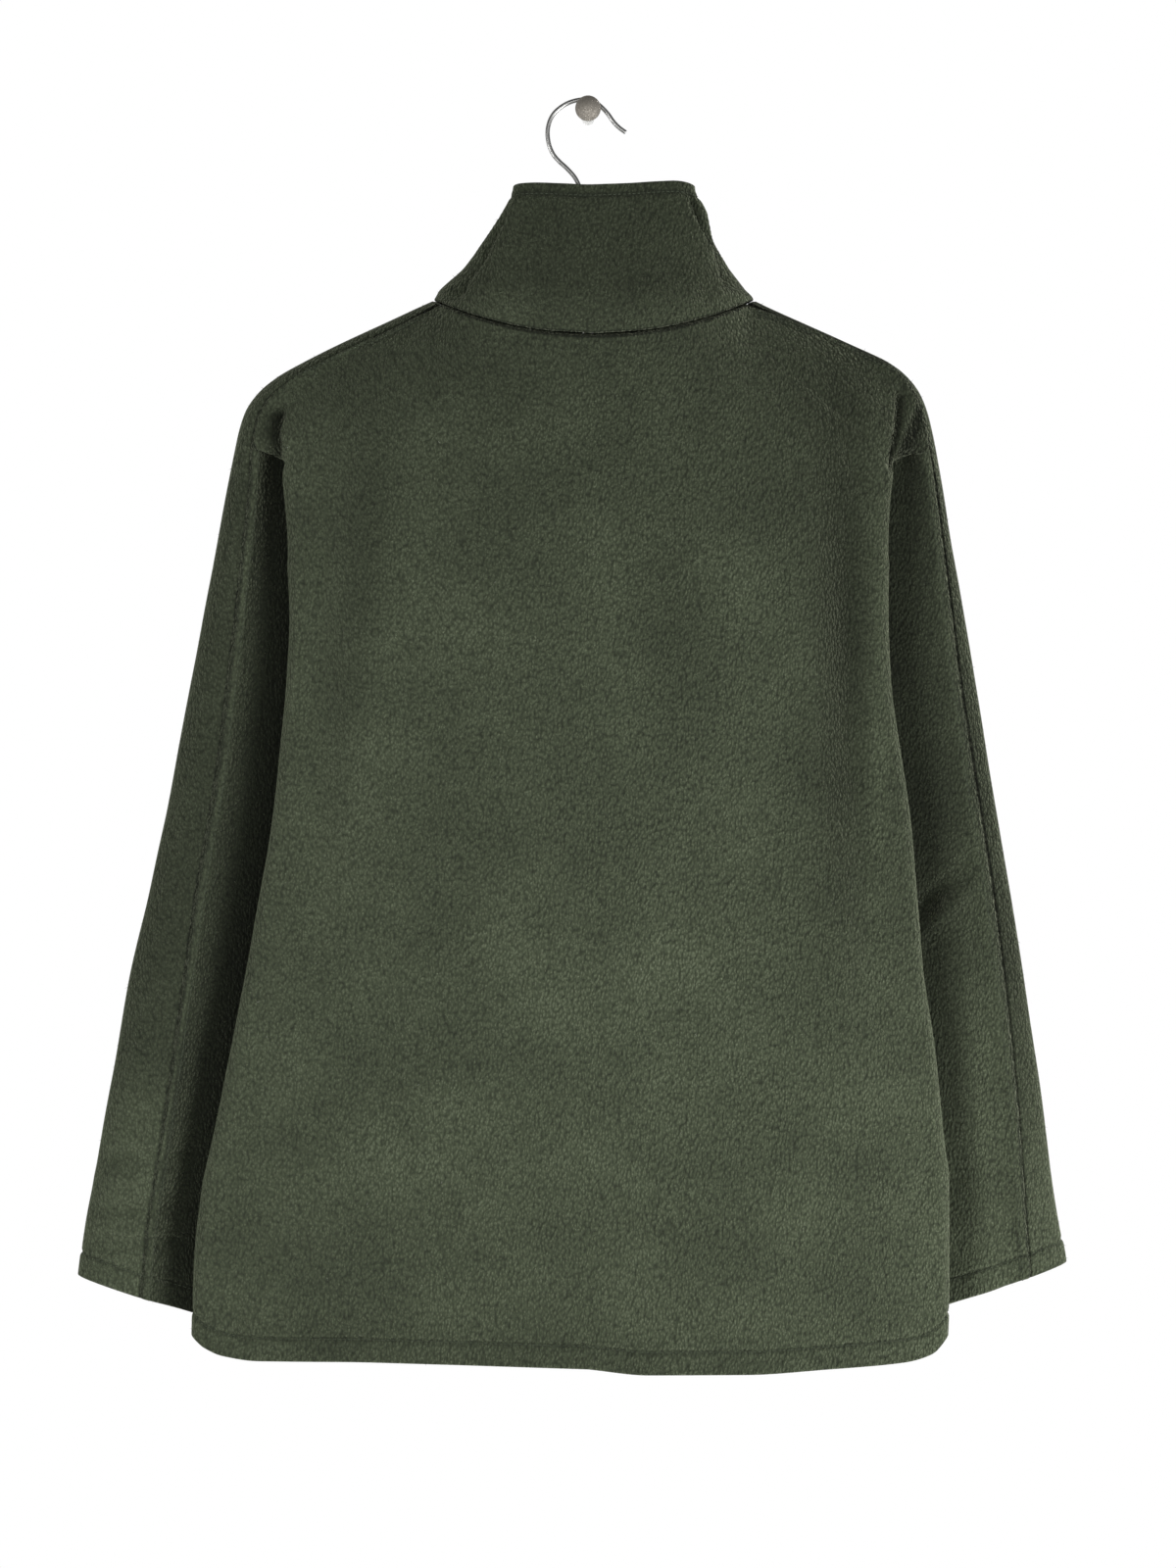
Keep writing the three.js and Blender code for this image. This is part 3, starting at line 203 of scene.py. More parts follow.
def unit(vectors: Array) -> Array:
    """Vectors brought to length one."""
    length = np.linalg.norm(vectors, axis=-1, keepdims=True)
    return vectors / np.maximum(length, 1e-9)


def bell(at: Array | float, centre: float, reach: float) -> Array:
    """Rounded bump of height one at a centre."""
    return np.exp(-(((at - centre) / reach) ** 2))


def armhole_opened(z: Array | float) -> Array:
    """Share from 0 at the armpit to 1 where the armhole stands open above it."""
    return ease((z - ARMPIT_Z) / ARMHOLE_OPENS)


@dataclass(frozen=True)
class Fade:
    """Painted shade of the cloth that grows along a height or a sideways place."""

    dark: float
    start: float
    span: float

    def at(self, place: Array) -> Array:
        """Darkness of the painted shade at a place."""
        return self.dark * ease((place - self.start) / self.span)


@dataclass(frozen=True)
class ArmShade:
    """Painted shade standing for the shade that the body throws on the under sleeve beside it."""

    low: float
    low_reach: float
    deep: float
    deep_reach: float = 46.0
    deepens: Fade = Fade(1.0, -760, 240)
    widens: Fade = Fade(1.0, -720, 260)

    def at(self, z: Array, beside: Array) -> Array:
        """Darkness of the painted shade on the sleeve.

        Args:
            z: heights.
            beside: distances out from the body's fold.

        Returns:
            Darkness from 0 to 1.
        """
        reach = mix(self.low_reach, self.deep_reach, self.widens.at(z))
        return mix(self.low, self.deep, self.deepens.at(z)) * bell(beside, 0, reach)


TORSO = {
    Side.LEFT: Table("z fold valley", [
        (-176, 192, 176), (-216, 209, 165), (-232, 205, 150), (-250, 202, 142),
        (-283, 199, 141), (-334, 197, 140), (-376, 199, 140), (-400, 201, 139),
        (-467, 208, 147), (-512, 216, 160), (-560, 225, 176), (-619, 237, 197),
        (-683, 249, 217), (-709, 254, 223), (-774, 260, 239), (-812, 261, 242)]),
    Side.RIGHT: Table("z fold valley", [
        (-176, 196, 180), (-216, 212, 168), (-232, 207, 152), (-250, 201, 143),
        (-283, 199, 140), (-334, 198, 138), (-376, 200, 138), (-400, 203, 137),
        (-467, 213, 143), (-512, 217, 152), (-560, 221, 163), (-619, 229, 180),
        (-683, 235, 196), (-709, 238, 202), (-774, 238, 217), (-812, 237, 219)]),
}
OPEN_ROLL = Table("z roll", [(-239, 8), (-227, 12), (-216, 20), (-176, 50)])
DEPTH = {
    Face.BACK: Table("z centre edge", [
        (-150, 45, 23), (-300, 45, 23), (-520, 44, 23), (-700, 41, 23), (-835, 37, 23.5)]),
    Face.FRONT: Table("z centre edge", [
        (-150, 32, 23), (-300, 32, 23), (-520, 31, 23), (-835, 29, 23)]),
}
HEM_LINE = {
    Side.LEFT: Table("x z", [
        (0, -832), (100, -829), (156, -828), (216, -828), (240, -825), (252, -820),
        (262, -812)]),
    Side.RIGHT: Table("x z", [
        (0, -832), (40, -836), (104, -836), (156, -833), (208, -829), (226, -824),
        (238, -812)]),
}
SLEEVE = {
    Side.LEFT: Table("z outer inner half arch back_seam front_seam", [
        (-227, 233.8, 150, 12, 12, 11.8, 12), (-254, 239.2, 146, 12, 16, 15.7, 16),
        (-287, 245.7, 142, 12.5, 19, 18.7, 19), (-319, 251.6, 140, 13, 22, 21.1, 22),
        (-400, 266.5, 141, 13.6, 27, 26.6, 27), (-449, 276.3, 149, 14, 31, 30.3, 31),
        (-514, 289.3, 166, 14.5, 34, 32.3, 34), (-579, 304.2, 186, 15, 39, 38.2, 39),
        (-644, 315.3, 208, 15, 41, 40.3, 41), (-709, 327, 226, 15, 43, 42, 43),
        (-742, 333.5, 235, 14.5, 44, 43.5, 44), (-775, 338, 244, 14, 45, 44.5, 45),
        (-812, 341, 246, 14, 45, 44.5, 45)]),
    Side.RIGHT: Table("z outer inner half arch back_seam front_seam", [
        (-227, 230.6, 150, 12, 12, 4.6, 14), (-254, 235.3, 146, 12, 16, 5, 20),
        (-287, 240.4, 142, 12.5, 19, 5.6, 28), (-319, 246.4, 140, 13, 22, 7.8, 34),
        (-400, 260, 139, 13.6, 27, 11, 41), (-449, 267.8, 146, 14, 31, 11.2, 48),
        (-514, 278.9, 158, 14.5, 34, 12, 52), (-579, 289.3, 174, 15, 38, 14, 58),
        (-644, 299, 192, 15, 41, 16.6, 62), (-709, 307.5, 205, 15, 43, 20, 62),
        (-742, 312.7, 213, 14.5, 44, 23.2, 62), (-766, 317, 220, 14, 45, 25.6, 62),
        (-812, 320, 224, 14, 45, 26, 62)]),
}
# Painted shade: the under sleeves darker beside the body, the top sleeves and the upper back darker
# towards the top, the back darker towards its right side and less so low down, and the collar
# darker towards its top.
ARM_SHADE = {Side.LEFT: ArmShade(0.95, 34.0, 1.0), Side.RIGHT: ArmShade(0.4, 15.0, 0.82)}
TOP_SHADE = {Side.LEFT: Fade(0.44, -740, 200), Side.RIGHT: Fade(0.66, -740, 200)}
YOKE_SHADE = Fade(0.24, -420, 260)
RIGHT_SHADE = (Fade(0.26, 90, 80), Fade(1.0, -700, 240))
COLLAR_SHADE = Fade(0.42, -145, 26)
CUFF = {Side.LEFT: (338.0, -775.0, 0.316), Side.RIGHT: (317.0, -766.4, 0.348)}
SHOULDER = {
    Side.LEFT: Table("share x z arch back_seam front_seam", [
        (0 / 9, 233.8, -227, 12, 11.8, 12), (1 / 9, 231.2, -215, 11.4, 11.2, 11.4),
        (2 / 9, 226.9, -202, 10.4, 10.2, 10.4), (3 / 9, 218.6, -190, 9.4, 9.2, 9.4),
        (4 / 9, 207, -180.3, 8.6, 8.4, 8.6), (5 / 9, 188.5, -169.6, 7.8, 7.7, 7.8),
        (6 / 9, 163, -156.6, 7.6, 7.5, 7.6), (7 / 9, 134.5, -143.6, 7.6, 7.5, 7.6),
        (8 / 9, 113, -133.6, 6.2, 6.1, 6.2), (9 / 9, 101.4, -128.6, 4.6, 4.5, 4.6)]),
    Side.RIGHT: Table("share x z arch back_seam front_seam", [
        (0 / 9, 230.6, -227, 12, 4.6, 14), (1 / 9, 228.2, -215, 11.4, 4.6, 13.4),
        (2 / 9, 224.9, -202, 10.4, 4.8, 12.4), (3 / 9, 219.7, -189.6, 9.4, 4.8, 11.4),
        (4 / 9, 210.4, -178, 8.6, 4.4, 10.6), (5 / 9, 199.5, -169.8, 7.8, 3.8, 10),
        (6 / 9, 170, -156, 7.6, 3.2, 10), (7 / 9, 141, -143, 7.6, 3, 9),
        (8 / 9, 121, -134, 6.2, 3.6, 6.6), (9 / 9, 109.4, -128.6, 4.6, 4.2, 4.6)]),
}
COLLAR_SIDE = {
    Side.LEFT: Table("z out", [
        (-131, 0), (-126, 2.4), (-121, 4.3), (-111, 3.8), (-101, 5.1), (-92, 6.2), (-82, 5.7),
        (-72, 4.1), (-66, 2.9), (-59, 2.2), (-54, 2.6)]),
    Side.RIGHT: Table("z out", [
        (-131, 0), (-126, 1.5), (-121, 0.3), (-111, 0.6), (-101, 1.5), (-92, 1.8), (-82, 3.8),
        (-72, 5.4), (-66, 4), (-59, 1.4), (-54, 2)]),
}
COLLAR_TOP = Table("x rise", [
    (-60, 0.5), (-45, 1.8), (-36, 1.6), (-15, 0.1), (0, -0.8), (26, 0.1), (45, 1.8), (58, 2.8),
    (72, 1)])
ARMHOLE = {
    Side.LEFT: Table("z x", [
        (-227, 222), (-232, 206), (-239, 188), (-251, 174), (-268, 165), (-292, 157),
        (-322, 151), (-360, 146), (-385, 142.4), (-400, 141)]),
    Side.RIGHT: Table("z x", [
        (-227, 226), (-232, 208), (-239, 189), (-251, 174), (-268, 165), (-292, 157),
        (-322, 151), (-360, 145), (-385, 140.8), (-400, 139)]),
}


@dataclass(frozen=True)
class Crease:
    """A long soft hollow of the hanging cloth, or a rise where it is sunk less than nought; also a
    band of painted shade, or of painted light below nought.
    """

    x: float
    z: float
    across: float
    along: float
    lean: float
    sunk: float

    def depth(self, x: Array, z: Array) -> Array:
        """How far the crease sinks the cloth, or how dark its band of painted shade is.

        Args:
            x: sideways places.
            z: heights.

        Returns:
            Millimetres sunk, or the darkness of a band of painted shade.
        """
        up = (z - self.z) / self.along
        over = (x - self.x - self.lean * (z - self.z)) / self.across
        return self.sunk * np.exp(-over**2 - up**2)


@dataclass(frozen=True)
class FoldLine:
    """Sharp edge of a fold down the cloth, with the cloth beside it lying lower and painted shade
    at its foot.
    """

    points: tuple[tuple[float, float], ...]
    low_side: Side
    sunk: float
    reach: float = 12.0
    # Darkness and reach of the painted shade at the foot of the fold.
    dark: float = 0.8
    dark_reach: float = 4.0
    turn: float = 2.4

    def shade(self, x: Array, z: Array) -> Array:
        """How dark the painted shade at the foot of the fold is, from 0 to 1."""
        return self._beside(x, z, self.dark_reach) * self.dark

    def depth(self, x: Array, z: Array) -> Array:
        """How far the fold sinks the cloth.

        Args:
            x: sideways places.
            z: heights.

        Returns:
            Millimetres sunk.
        """
        return self._beside(x, z, self.reach) * self.sunk

    def _beside(self, x: Array, z: Array, reach: float) -> Array:
        """Share from 0 to 1 that rises at the fold and fades away from it.

        Args:
            x: sideways places.
            z: heights.
            reach: distance of the fading.

        Returns:
            The shares.
        """
        line = np.array(sorted((z, x) for x, z in self.points))
        low, high = line[0, 0], line[-1, 0]
        beyond = (x - np.interp(z, line[:, 0], line[:, 1])) * self.low_side.value
        ends = ease((z - low) / 9 + 0.35) * ease((high - z) / 9 + 0.35)
        step = ease(beyond / self.turn + 0.35)
        return step * ends * bell(np.maximum(beyond, 0), 0, reach)


def sunk(creases: Iterable[Crease | FoldLine], x: Array, z: Array) -> Array:
    """Sum of what several creases and fold lines sink the cloth, or of the darkness of bands of
    painted shade.
    """
    return sum((crease.depth(x, z) for crease in creases), np.zeros(np.shape(x)))


BACK_FOLDS = (
    Crease(-174, -380, 13, 150, 0.02, 4.2), Crease(174, -390, 15, 180, -0.05, 6.2),
    Crease(-120, -290, 26, 70, 0.35, 1.8), Crease(70, -560, 20, 120, 0.12, 2.2),
    Crease(178, -620, 24, 120, -0.16, -2.2), Crease(-190, -770, 20, 60, -0.5, 2.4),
    Crease(-10, -330, 60, 120, 0, -2))
FRONT_FOLDS = (
    Crease(-150, -420, 16, 150, 0.1, 2.2), Crease(155, -390, 16, 150, -0.1, 2.2),
    Crease(-90, -640, 24, 120, 0.15, 1.8), Crease(100, -690, 24, 120, -0.12, 1.8))
FOLDS = {Face.BACK: BACK_FOLDS, Face.FRONT: FRONT_FOLDS}
BACK_CREASES = (
    FoldLine(((-202, -240), (-202, -228), (-202.5, -214), (-198, -200)), Side.LEFT, 5, 12,
             0.85, 12),
    FoldLine(((197.5, -244), (199, -230), (202, -210), (203.5, -190)), Side.RIGHT, 5, 7,
             0.8, 5),
    FoldLine(((201, -246), (206, -228), (213, -208), (218, -196)), Side.RIGHT, 1.5, 9, 0.75, 12),
    Crease(209, -208, 4, 20, 0.3, -1.8), Crease(-216, -214, 4, 12, 0.4, -0.8),
    Crease(52, -590, 16, 120, 0.05, 1.9), Crease(-110, -330, 26, 110, 0.3, 2.4),
    Crease(-30, -520, 32, 150, 0.05, -1.6), Crease(112, -520, 22, 140, 0.1, 1.8),
    Crease(-140, -620, 20, 110, -0.15, 1.7),
    Crease(-232, -798, 5, 17, 0.1, 2.2), Crease(-150, -200, 7, 26, 1.5, 0.9),
    Crease(166, -205, 6, 30, -1.2, 1.1), Crease(176, -245, 5, 34, -0.35, 1.3),
    Crease(-163, -262, 6, 46, 0.3, 0.9), Crease(222, -706, 6, 12, 0.2, 1.0),
    Crease(-98, -430, 9, 90, 0.24, 0.7), Crease(36, -250, 10, 60, -0.12, 0.5),
    Crease(98, -470, 12, 110, 0.06, 0.8), Crease(-40, -700, 14, 90, -0.05, 0.7),
    Crease(172, -350, 13, 120, 0.03, 2.6), Crease(191, -350, 7, 120, 0.03, -1.4),
    Crease(-206, -792, 6, 12, -0.5, 1.6), Crease(-196, -800, 5, 14, 0.5, -1.2),
    Crease(-120, -700, 4, 12, -0.5, 1.0),
    Crease(140, -760, 10, 46, 0.2, 0.7), Crease(-212, -640, 7, 60, -0.1, 0.9))
# Bands of painted shade on the back, with painted light where sunk is below nought: darker troughs
# and a lighter ridge near the right edge, soft bands over the middle and a darker band along the
# hem. Their sunk is the darkness, from 0 to 1, not millimetres.
BACK_PAINTED_SHADE = (
    Crease(166, -370, 15, 150, 0, 0.46), Crease(190, -370, 7, 150, 0, -0.3),
    Crease(-152, -350, 13, 110, 0.13, 0.24), Crease(-126, -400, 12, 100, 0.13, -0.14),
    Crease(58, -330, 26, 110, 0.1, 0.16), Crease(-10, -440, 44, 90, 0.2, -0.12),
    Crease(-90, -560, 20, 110, 0.3, 0.1), Crease(100, -600, 22, 120, -0.1, 0.1),
    Crease(-60, -830, 280, 26, 0, 0.24))
FRONT_CREASES = (
    Crease(-170, -230, 7, 34, 1.1, 1.2), Crease(172, -232, 7, 34, -1.1, 1.2),
    Crease(-60, -330, 10, 90, 0.3, 0.9), Crease(66, -360, 10, 90, -0.26, 0.9),
    Crease(-180, -740, 12, 60, -0.3, 1.4), Crease(176, -770, 12, 50, 0.3, 1.2),
    Crease(-24, -520, 8, 120, 0.02, 0.8), Crease(22, -600, 8, 120, -0.02, 0.8))
LEFT_SLEEVE_CREASES = (
    Crease(-300, -694, 46, 5, 0, 3.0), Crease(-296, -709, 40, 5, 0, -1.9),
    Crease(-305, -729, 38, 5, 0, 2.7), Crease(-290, -752, 46, 5, 0, 2.9),
    Crease(-262, -560, 30, 6, 0, 0.9), Crease(-250, -470, 26, 7, 0, 0.8),
    Crease(-232, -330, 7, 60, 0.12, 0.8), Crease(-286, -640, 8, 50, 0.3, 0.8))
RIGHT_SLEEVE_CREASES = (
    Crease(229, -521, 7, 20, 0.92, 4.6), Crease(236, -535, 6, 21, 0.92, -3.6),
    Crease(262, -640, 26, 7, 0, 1.0), Crease(280, -704, 30, 6, 0, 1.1),
    Crease(286, -742, 28, 6, 0, 0.9), Crease(250, -440, 9, 60, -0.16, 0.8),
    Crease(228, -300, 6, 50, -0.1, 0.7))
SLEEVE_CREASES = {Side.LEFT: LEFT_SLEEVE_CREASES, Side.RIGHT: RIGHT_SLEEVE_CREASES}


@dataclass(frozen=True)
class Neck:
    """Ring of the neck seam."""

    centre_x: float = 4
    half_width: float = 105
    back_depth: float = 45
    front_depth: float = 32
    side_z: float = -128.5
    back_drop: float = 26.5
    front_drop: float = 86.5

    def point(self, side: Side, turn: Array, apart: float) -> Array:
        """Points of the ring.

        Args:
            side: the wearer's side.
            turn: degrees round the ring, 0 at the centre of the back and 180 at the front.
            apart: distance outside the ring.

        Returns:
            The points, one a row.
        """
        angle = np.radians(turn)
        cosine = np.cos(angle)
        behind = np.asarray(turn) < 90
        level = np.abs(cosine)
        depth = cosine * np.where(behind, self.back_depth, self.front_depth)
        drop = np.where(behind, self.back_drop * level**1.8, self.front_drop * level**3)
        x = self.centre_x + side.value * (self.half_width + apart) * np.sin(angle)
        return np.stack([x, MIDDLE_Y - depth, self.side_z - drop - apart * level], -1)

    def at_depth(self, side: Side, face: Face, depth: float) -> tuple[float, float]:
        """Sideways place and height of the ring where it has a depth.

        Args:
            side: the wearer's side.
            face: back or front.
            depth: distance from the middle plane.

        Returns:
            The signed x and the z, just outside the ring.
        """
        whole = self.back_depth if face is Face.BACK else self.front_depth
        turned = math.degrees(math.acos(min(max(depth / whole, 0), 1)))
        turn = turned if face is Face.BACK else 180 - turned
        point = self.point(side, np.array(turn), SEAM_GAP)
        return float(point[0]) + side.value * SEAM_GAP, float(point[2])


NECK = Neck()


def ridge_depth(arch: Array, inset: Array) -> Array:
    """Half thickness of the shoulder at a distance in from its ridge."""
    left = 1 - np.minimum(inset / arch, 1)
    return SHOULDER_HALF * np.sqrt(1 - left**2)


def arch_inset(arch: Array, half: Array, seam_inset: Array, share: Array) -> Array:
    """Distance in from the ridge at a share of the way round to a seam.

    Args:
        arch: width of the rounded part.
        half: half thickness.
        seam_inset: distance in of the seam.
        share: 0 at the ridge and 1 at the seam.

    Returns:
        The distances in.
    """
    on_arch = np.minimum(seam_inset, arch)
    round_way = half * np.arccos(np.clip(1 - on_arch / arch, -1, 1))
    walked = share * (round_way + np.maximum(0, seam_inset - arch))
    curved = arch * (1 - np.cos(walked / half))
    return np.where(walked <= round_way, curved, arch + walked - round_way)


@dataclass(frozen=True)
class Shoulder:
    """Ridge of one shoulder from the sleeve head to the neck."""

    side: Side

    def station(self, share: Array) -> dict[str, Array]:
        """Place, sizes and inward direction of the ridge.

        Args:
            share: 0 at the sleeve head and 1 at the neck.

        Returns:
            Arrays by name, with "inward" as (x, z) directions.
        """
        table = SHOULDER[self.side]
        found = {name: table.read(name, share) for name in table.columns}
        step = 0.02
        dx = table.read("x", share + step) - table.read("x", share - step)
        dz = table.read("z", share + step) - table.read("z", share - step)
        turned = ease(share * 5)[..., None]
        at_neck = ease((share - 0.85) / 0.15)[..., None]
        inward = mix(np.array([-1.0, 0.0]), unit(np.stack([-dz, dx], -1)), turned)
        found["inward"] = unit(mix(inward, np.array([-0.83, -0.55]), at_neck))
        return found

    def seam(self, face: Face, count: int = 90) -> dict[str, Array]:
        """Seam of one face, just inside the top sleeve's edge.

        Args:
            face: back or front.
            count: points along it.

        Returns:
            Arrays by name, from the sleeve head to the neck; x is taken from x = 0.
        """
        share = np.linspace(0, 1, count)
        at = self.station(share)
        inset = at["back_seam" if face is Face.BACK else "front_seam"]
        x = at["x"] + at["inward"][:, 0] * (inset - TUCK)
        z = at["z"] + at["inward"][:, 1] * (inset - TUCK)
        depth = ridge_depth(at["arch"], inset)
        end_x, end_z = NECK.at_depth(self.side, face, depth[-1])
        late = ease((share - 0.8) / 0.2)
        x = x + (self.side.value * end_x - x[-1]) * late
        z = z + (end_z - 2 * SEAM_GAP - z[-1]) * late
        return {"share": share, "x": x, "z": np.maximum.accumulate(z), "depth": depth,
                "inset": inset, "arch": at["arch"]}


@dataclass
class Panel:
    """One cut panel of fleece, as a fine grid of points on its outer face."""

    name: str
    grid: Array
    flipped: bool
    edges: dict[str, Edge]
    creases: tuple[Crease | FoldLine, ...] = ()
    wall: float = CLOTH
    seed: int = 1
    hollow: float = 0.0
    plain_top: float = 0.0
    # Painted shade over the panel, from 0 to 1, which darkens its fleece.
    shade: Array | float = 0.0

    def normals(self) -> Array:
        """Outward directions at the grid's points.

        Returns:
            Directions of length one.
        """
        up = np.gradient(self.grid, axis=0)
        over = np.gradient(self.grid, axis=1)
        out = unit(np.cross(up, over))
        return -out if self.flipped else out

    def distances(self) -> dict[str, Array]:
        """Distance of each point along the cloth from each edge, by the edge's name.

        Returns:
            Millimetres by name: bottom, top, start and end.
        """
        up = np.linalg.norm(np.diff(self.grid, axis=0), axis=2)
        over = np.linalg.norm(np.diff(self.grid, axis=1), axis=2)
        rows = np.vstack([np.zeros(up.shape[1]), np.cumsum(up, axis=0)])
        columns = np.hstack([np.zeros((over.shape[0], 1)), np.cumsum(over, axis=1)])
        return {"bottom": rows, "top": rows[-1] - rows,
                "start": columns, "end": columns[:, -1:] - columns}

    def cut(self) -> tuple[float, float, float]:
        """Width, length and area of the cloth that shows, in metres.

        Returns:
            The three measures.
        """
        far = self.distances()
        up = np.diff(self.grid, axis=0)[:, :-1]
        over = np.diff(self.grid, axis=1)[:-1]
        area = np.linalg.norm(np.cross(up, over), axis=2).sum() * METRES**2
        width = float(far["start"].max() * METRES)
        length = float(far["bottom"].max() * METRES)
        return width, length, float(min(area, width * length))

    def dress(self) -> None:
        """Moves the outer face by its creases, unevenness and the relief of its edges, and adds
        painted shade along its seams and at the feet of its fold lines.
        """
        far = self.distances()
        out = self.normals()
        x, z = self.grid[..., 0], self.grid[..., 2]
        facing = np.abs(out[..., 1])
        joined = [name for name, edge in self.edges.items() if edge is not Edge.HEM]
        held = np.minimum.reduce([ease(far[name] / CREASE_FADE) for name in joined])
        move = -sunk(self.creases, x, z) * facing * held
        # Painted shade in the grooves of the seams and at the feet of the fold lines.
        folds = [crease for crease in self.creases if isinstance(crease, FoldLine)]
        lines = sum(SEAM_SHADE * self._seam_line(edge, far[name])
                    for name, edge in self.edges.items())
        self.shade = np.clip(self.shade + lines + sum(fold.shade(x, z) for fold in folds), 0, 1)
        inside = np.minimum.reduce([ease(far[name] / WAVE_FADE) for name in far])
        move += self._unevenness() * inside
        for name, edge in self.edges.items():
            move += self._relief(edge, far[name]) * self._stitched(name)
            move -= self.roll(far[name], ROLLS[edge])
            if edge is Edge.STITCHED_SEAM and self.hollow:
                move -= self.hollow * bell(far[name], HOLLOW_AT, HOLLOW_REACH)
        self.grid = self.grid + out * move[..., None]

    def _stitched(self, name: str) -> Array | float:
        """Share of an edge's relief in each column, nought at the neck of a torso panel.

        Args:
            name: the edge's name.

        Returns:
            The shares.
        """
        if name != "top" or not self.plain_top:
            return 1.0
        return ease((np.abs(self.grid[-1, :, 0]) - self.plain_top) / 6)[None, :]

    def _unevenness(self) -> Array:
        """Slight waviness of the cloth: a few fixed waves in different directions.

        Returns:
            Millimetres outwards.
        """
        rng = np.random.default_rng(self.seed)
        total = np.zeros(self.grid.shape[:2])
        for _ in range(WAVE_COUNT):
            way = unit(rng.normal(size=3) * np.array([1.0, 0.6, 0.55]))
            length = rng.uniform(*WAVE_LENGTHS)
            phase = rng.uniform(0, 2 * math.pi)
            wave = np.sin(self.grid @ way * (2 * math.pi / length) + phase)
            total += wave * length / WAVE_LENGTHS[1]
        return total * WAVE_HEIGHT

    @staticmethod
    def _relief(edge: Edge, far: Array) -> Array:
        """Height of the relief that an edge's finish gives the cloth beside it.

        Args:
            edge: the finish.
            far: distances from the edge.

        Returns:
            Millimetres outwards.
        """
        if edge not in GROOVES:
            return 0 * far
        groove = GROOVES[edge]
        raised = {Edge.HEM: HEM_RISE * (1 - ease((far - HEM_DEPTH + 2) / 3)),
                  Edge.STITCHED_SEAM: ALLOWANCE_RISE * bell(far, ALLOWANCE_AT, 2)}
        return raised.get(edge, 0) - groove.deep * bell(far, groove.at, groove.reach)

    @staticmethod
    def roll(far: Array, radius: float) -> Array:
        """How far a rounded edge of a radius falls back at a distance from the edge."""
        left = np.clip(1 - far / radius, 0, 1)
        return 0.85 * radius * (1 - np.sqrt(1 - left**2))

    @staticmethod
    def _seam_line(edge: Edge, far: Array) -> Array:
        """Share from 0 to 1 of the groove where two panels meet.

        Args:
            edge: the finish.
            far: distances from the edge.

        Returns:
            The shares.
        """
        if edge in (Edge.HEM, Edge.TOP):
            return 0 * far
        reach = TUCK + 1.9 if edge is Edge.STITCHED_SEAM else 1.8
        return ease((reach - far) / 1.5)

    def pressed(self) -> Array:
        """How flat the nap is pressed by sewing, from 0 to 1.

        Returns:
            The shares.
        """
        far = self.distances()
        flat = np.zeros(self.grid.shape[:2])
        for name, edge in self.edges.items():
            if edge in GROOVES:
                hard = HEM_PRESS if edge is Edge.HEM else 1.0
                line = hard * bell(far[name], GROOVES[edge].at, 1.4)
                flat = np.maximum(flat, line * self._stitched(name))
            flat = np.maximum(flat, self._seam_line(edge, far[name]))
        return flat

    def lines(self, edge: str, far: float, lift: float) -> list[Array]:
        """Points along the cloth at a distance from an edge, without a plain neck part.

        Args:
            edge: the edge's name.
            far: distance from it.
            lift: height above the cloth.

        Returns:
            One or two runs of points in order along the edge.
        """
        away = self.distances()[edge]
        raised = self.grid + self.normals() * lift
        if edge in ("start", "end"):
            away, raised = away.T, np.swapaxes(raised, 0, 1)
        if edge in ("top", "end"):
            away, raised = away[::-1], raised[::-1]
        run = np.array([[np.interp(far, away[:, j], raised[:, j, k]) for k in range(3)]
                        for j in range(away.shape[1])])
        if edge != "top" or not self.plain_top:
            return [run]
        kept = [run[run[:, 0] < -self.plain_top], run[run[:, 0] > self.plain_top]]
        return [part for part in kept if len(part) > 1]

    def build(self) -> Item:
        """Makes the panel's closed wall.

        Returns:
            The object, without a finish yet.
        """
        self.dress()
        far = self.distances()
        wall = np.full(self.grid.shape[:2], self.wall)
        for name, edge in self.edges.items():
            if edge is Edge.HEM:
                wall = mix(HEM_WALL, wall, ease((far[name] - HEM_DEPTH) / 4))
            wall = wall - self.roll(far[name], ROLLS[edge])
        wall = np.maximum(wall, THINNEST)
        inner = (self.grid - self.normals() * wall[..., None])[::2, ::2]
        obj = make_mesh(self.name, *closed_wall(self.grid, inner, self.flipped))
        pressed = np.concatenate([self.pressed().ravel(), np.zeros(inner[..., 0].size)])
        # The painted shade goes to the shaded attribute, which darkens the fleece's colour.
        dark = np.broadcast_to(self.shade, self.grid.shape[:2])
        shaded = np.concatenate([dark.ravel(), dark[::2, ::2].ravel()])
        for name, values in (("pressed", pressed), ("shaded", shaded)):
            attribute = obj.data.attributes.new(name, "FLOAT", "POINT")
            attribute.data.foreach_set("value", values.astype(np.float32))
        return obj


def grid_faces(ids: Array, turned: bool) -> Faces:
    """Square faces of a grid.

    Args:
        ids: vertex numbers by row and column.
        turned: whether the faces point the other way.

    Returns:
        The corners of each face.
    """
    quads = [ids[:-1, :-1], ids[1:, :-1], ids[1:, 1:], ids[:-1, 1:]]
    order = quads[::-1] if turned else quads
    return list(map(tuple, np.stack([q.ravel() for q in order], 1).tolist()))


def rim_faces(fine: Array, coarse: Array, turned: bool) -> Faces:
    """Faces between an outer edge and an inner edge of every second point.

    Args:
        fine: vertex numbers of the outer edge.
        coarse: vertex numbers of the inner edge.
        turned: whether the faces point the other way.

    Returns:
        The corners of each face.
    """
    faces: Faces = []
    for k in range(len(coarse) - 1):
        a, b, c = (int(v) for v in fine[2 * k:2 * k + 3])
        p, q = int(coarse[k]), int(coarse[k + 1])
        for face in ((a, p, b), (b, p, q), (b, q, c)):
            faces.append(face[::-1] if turned else face)
    return faces


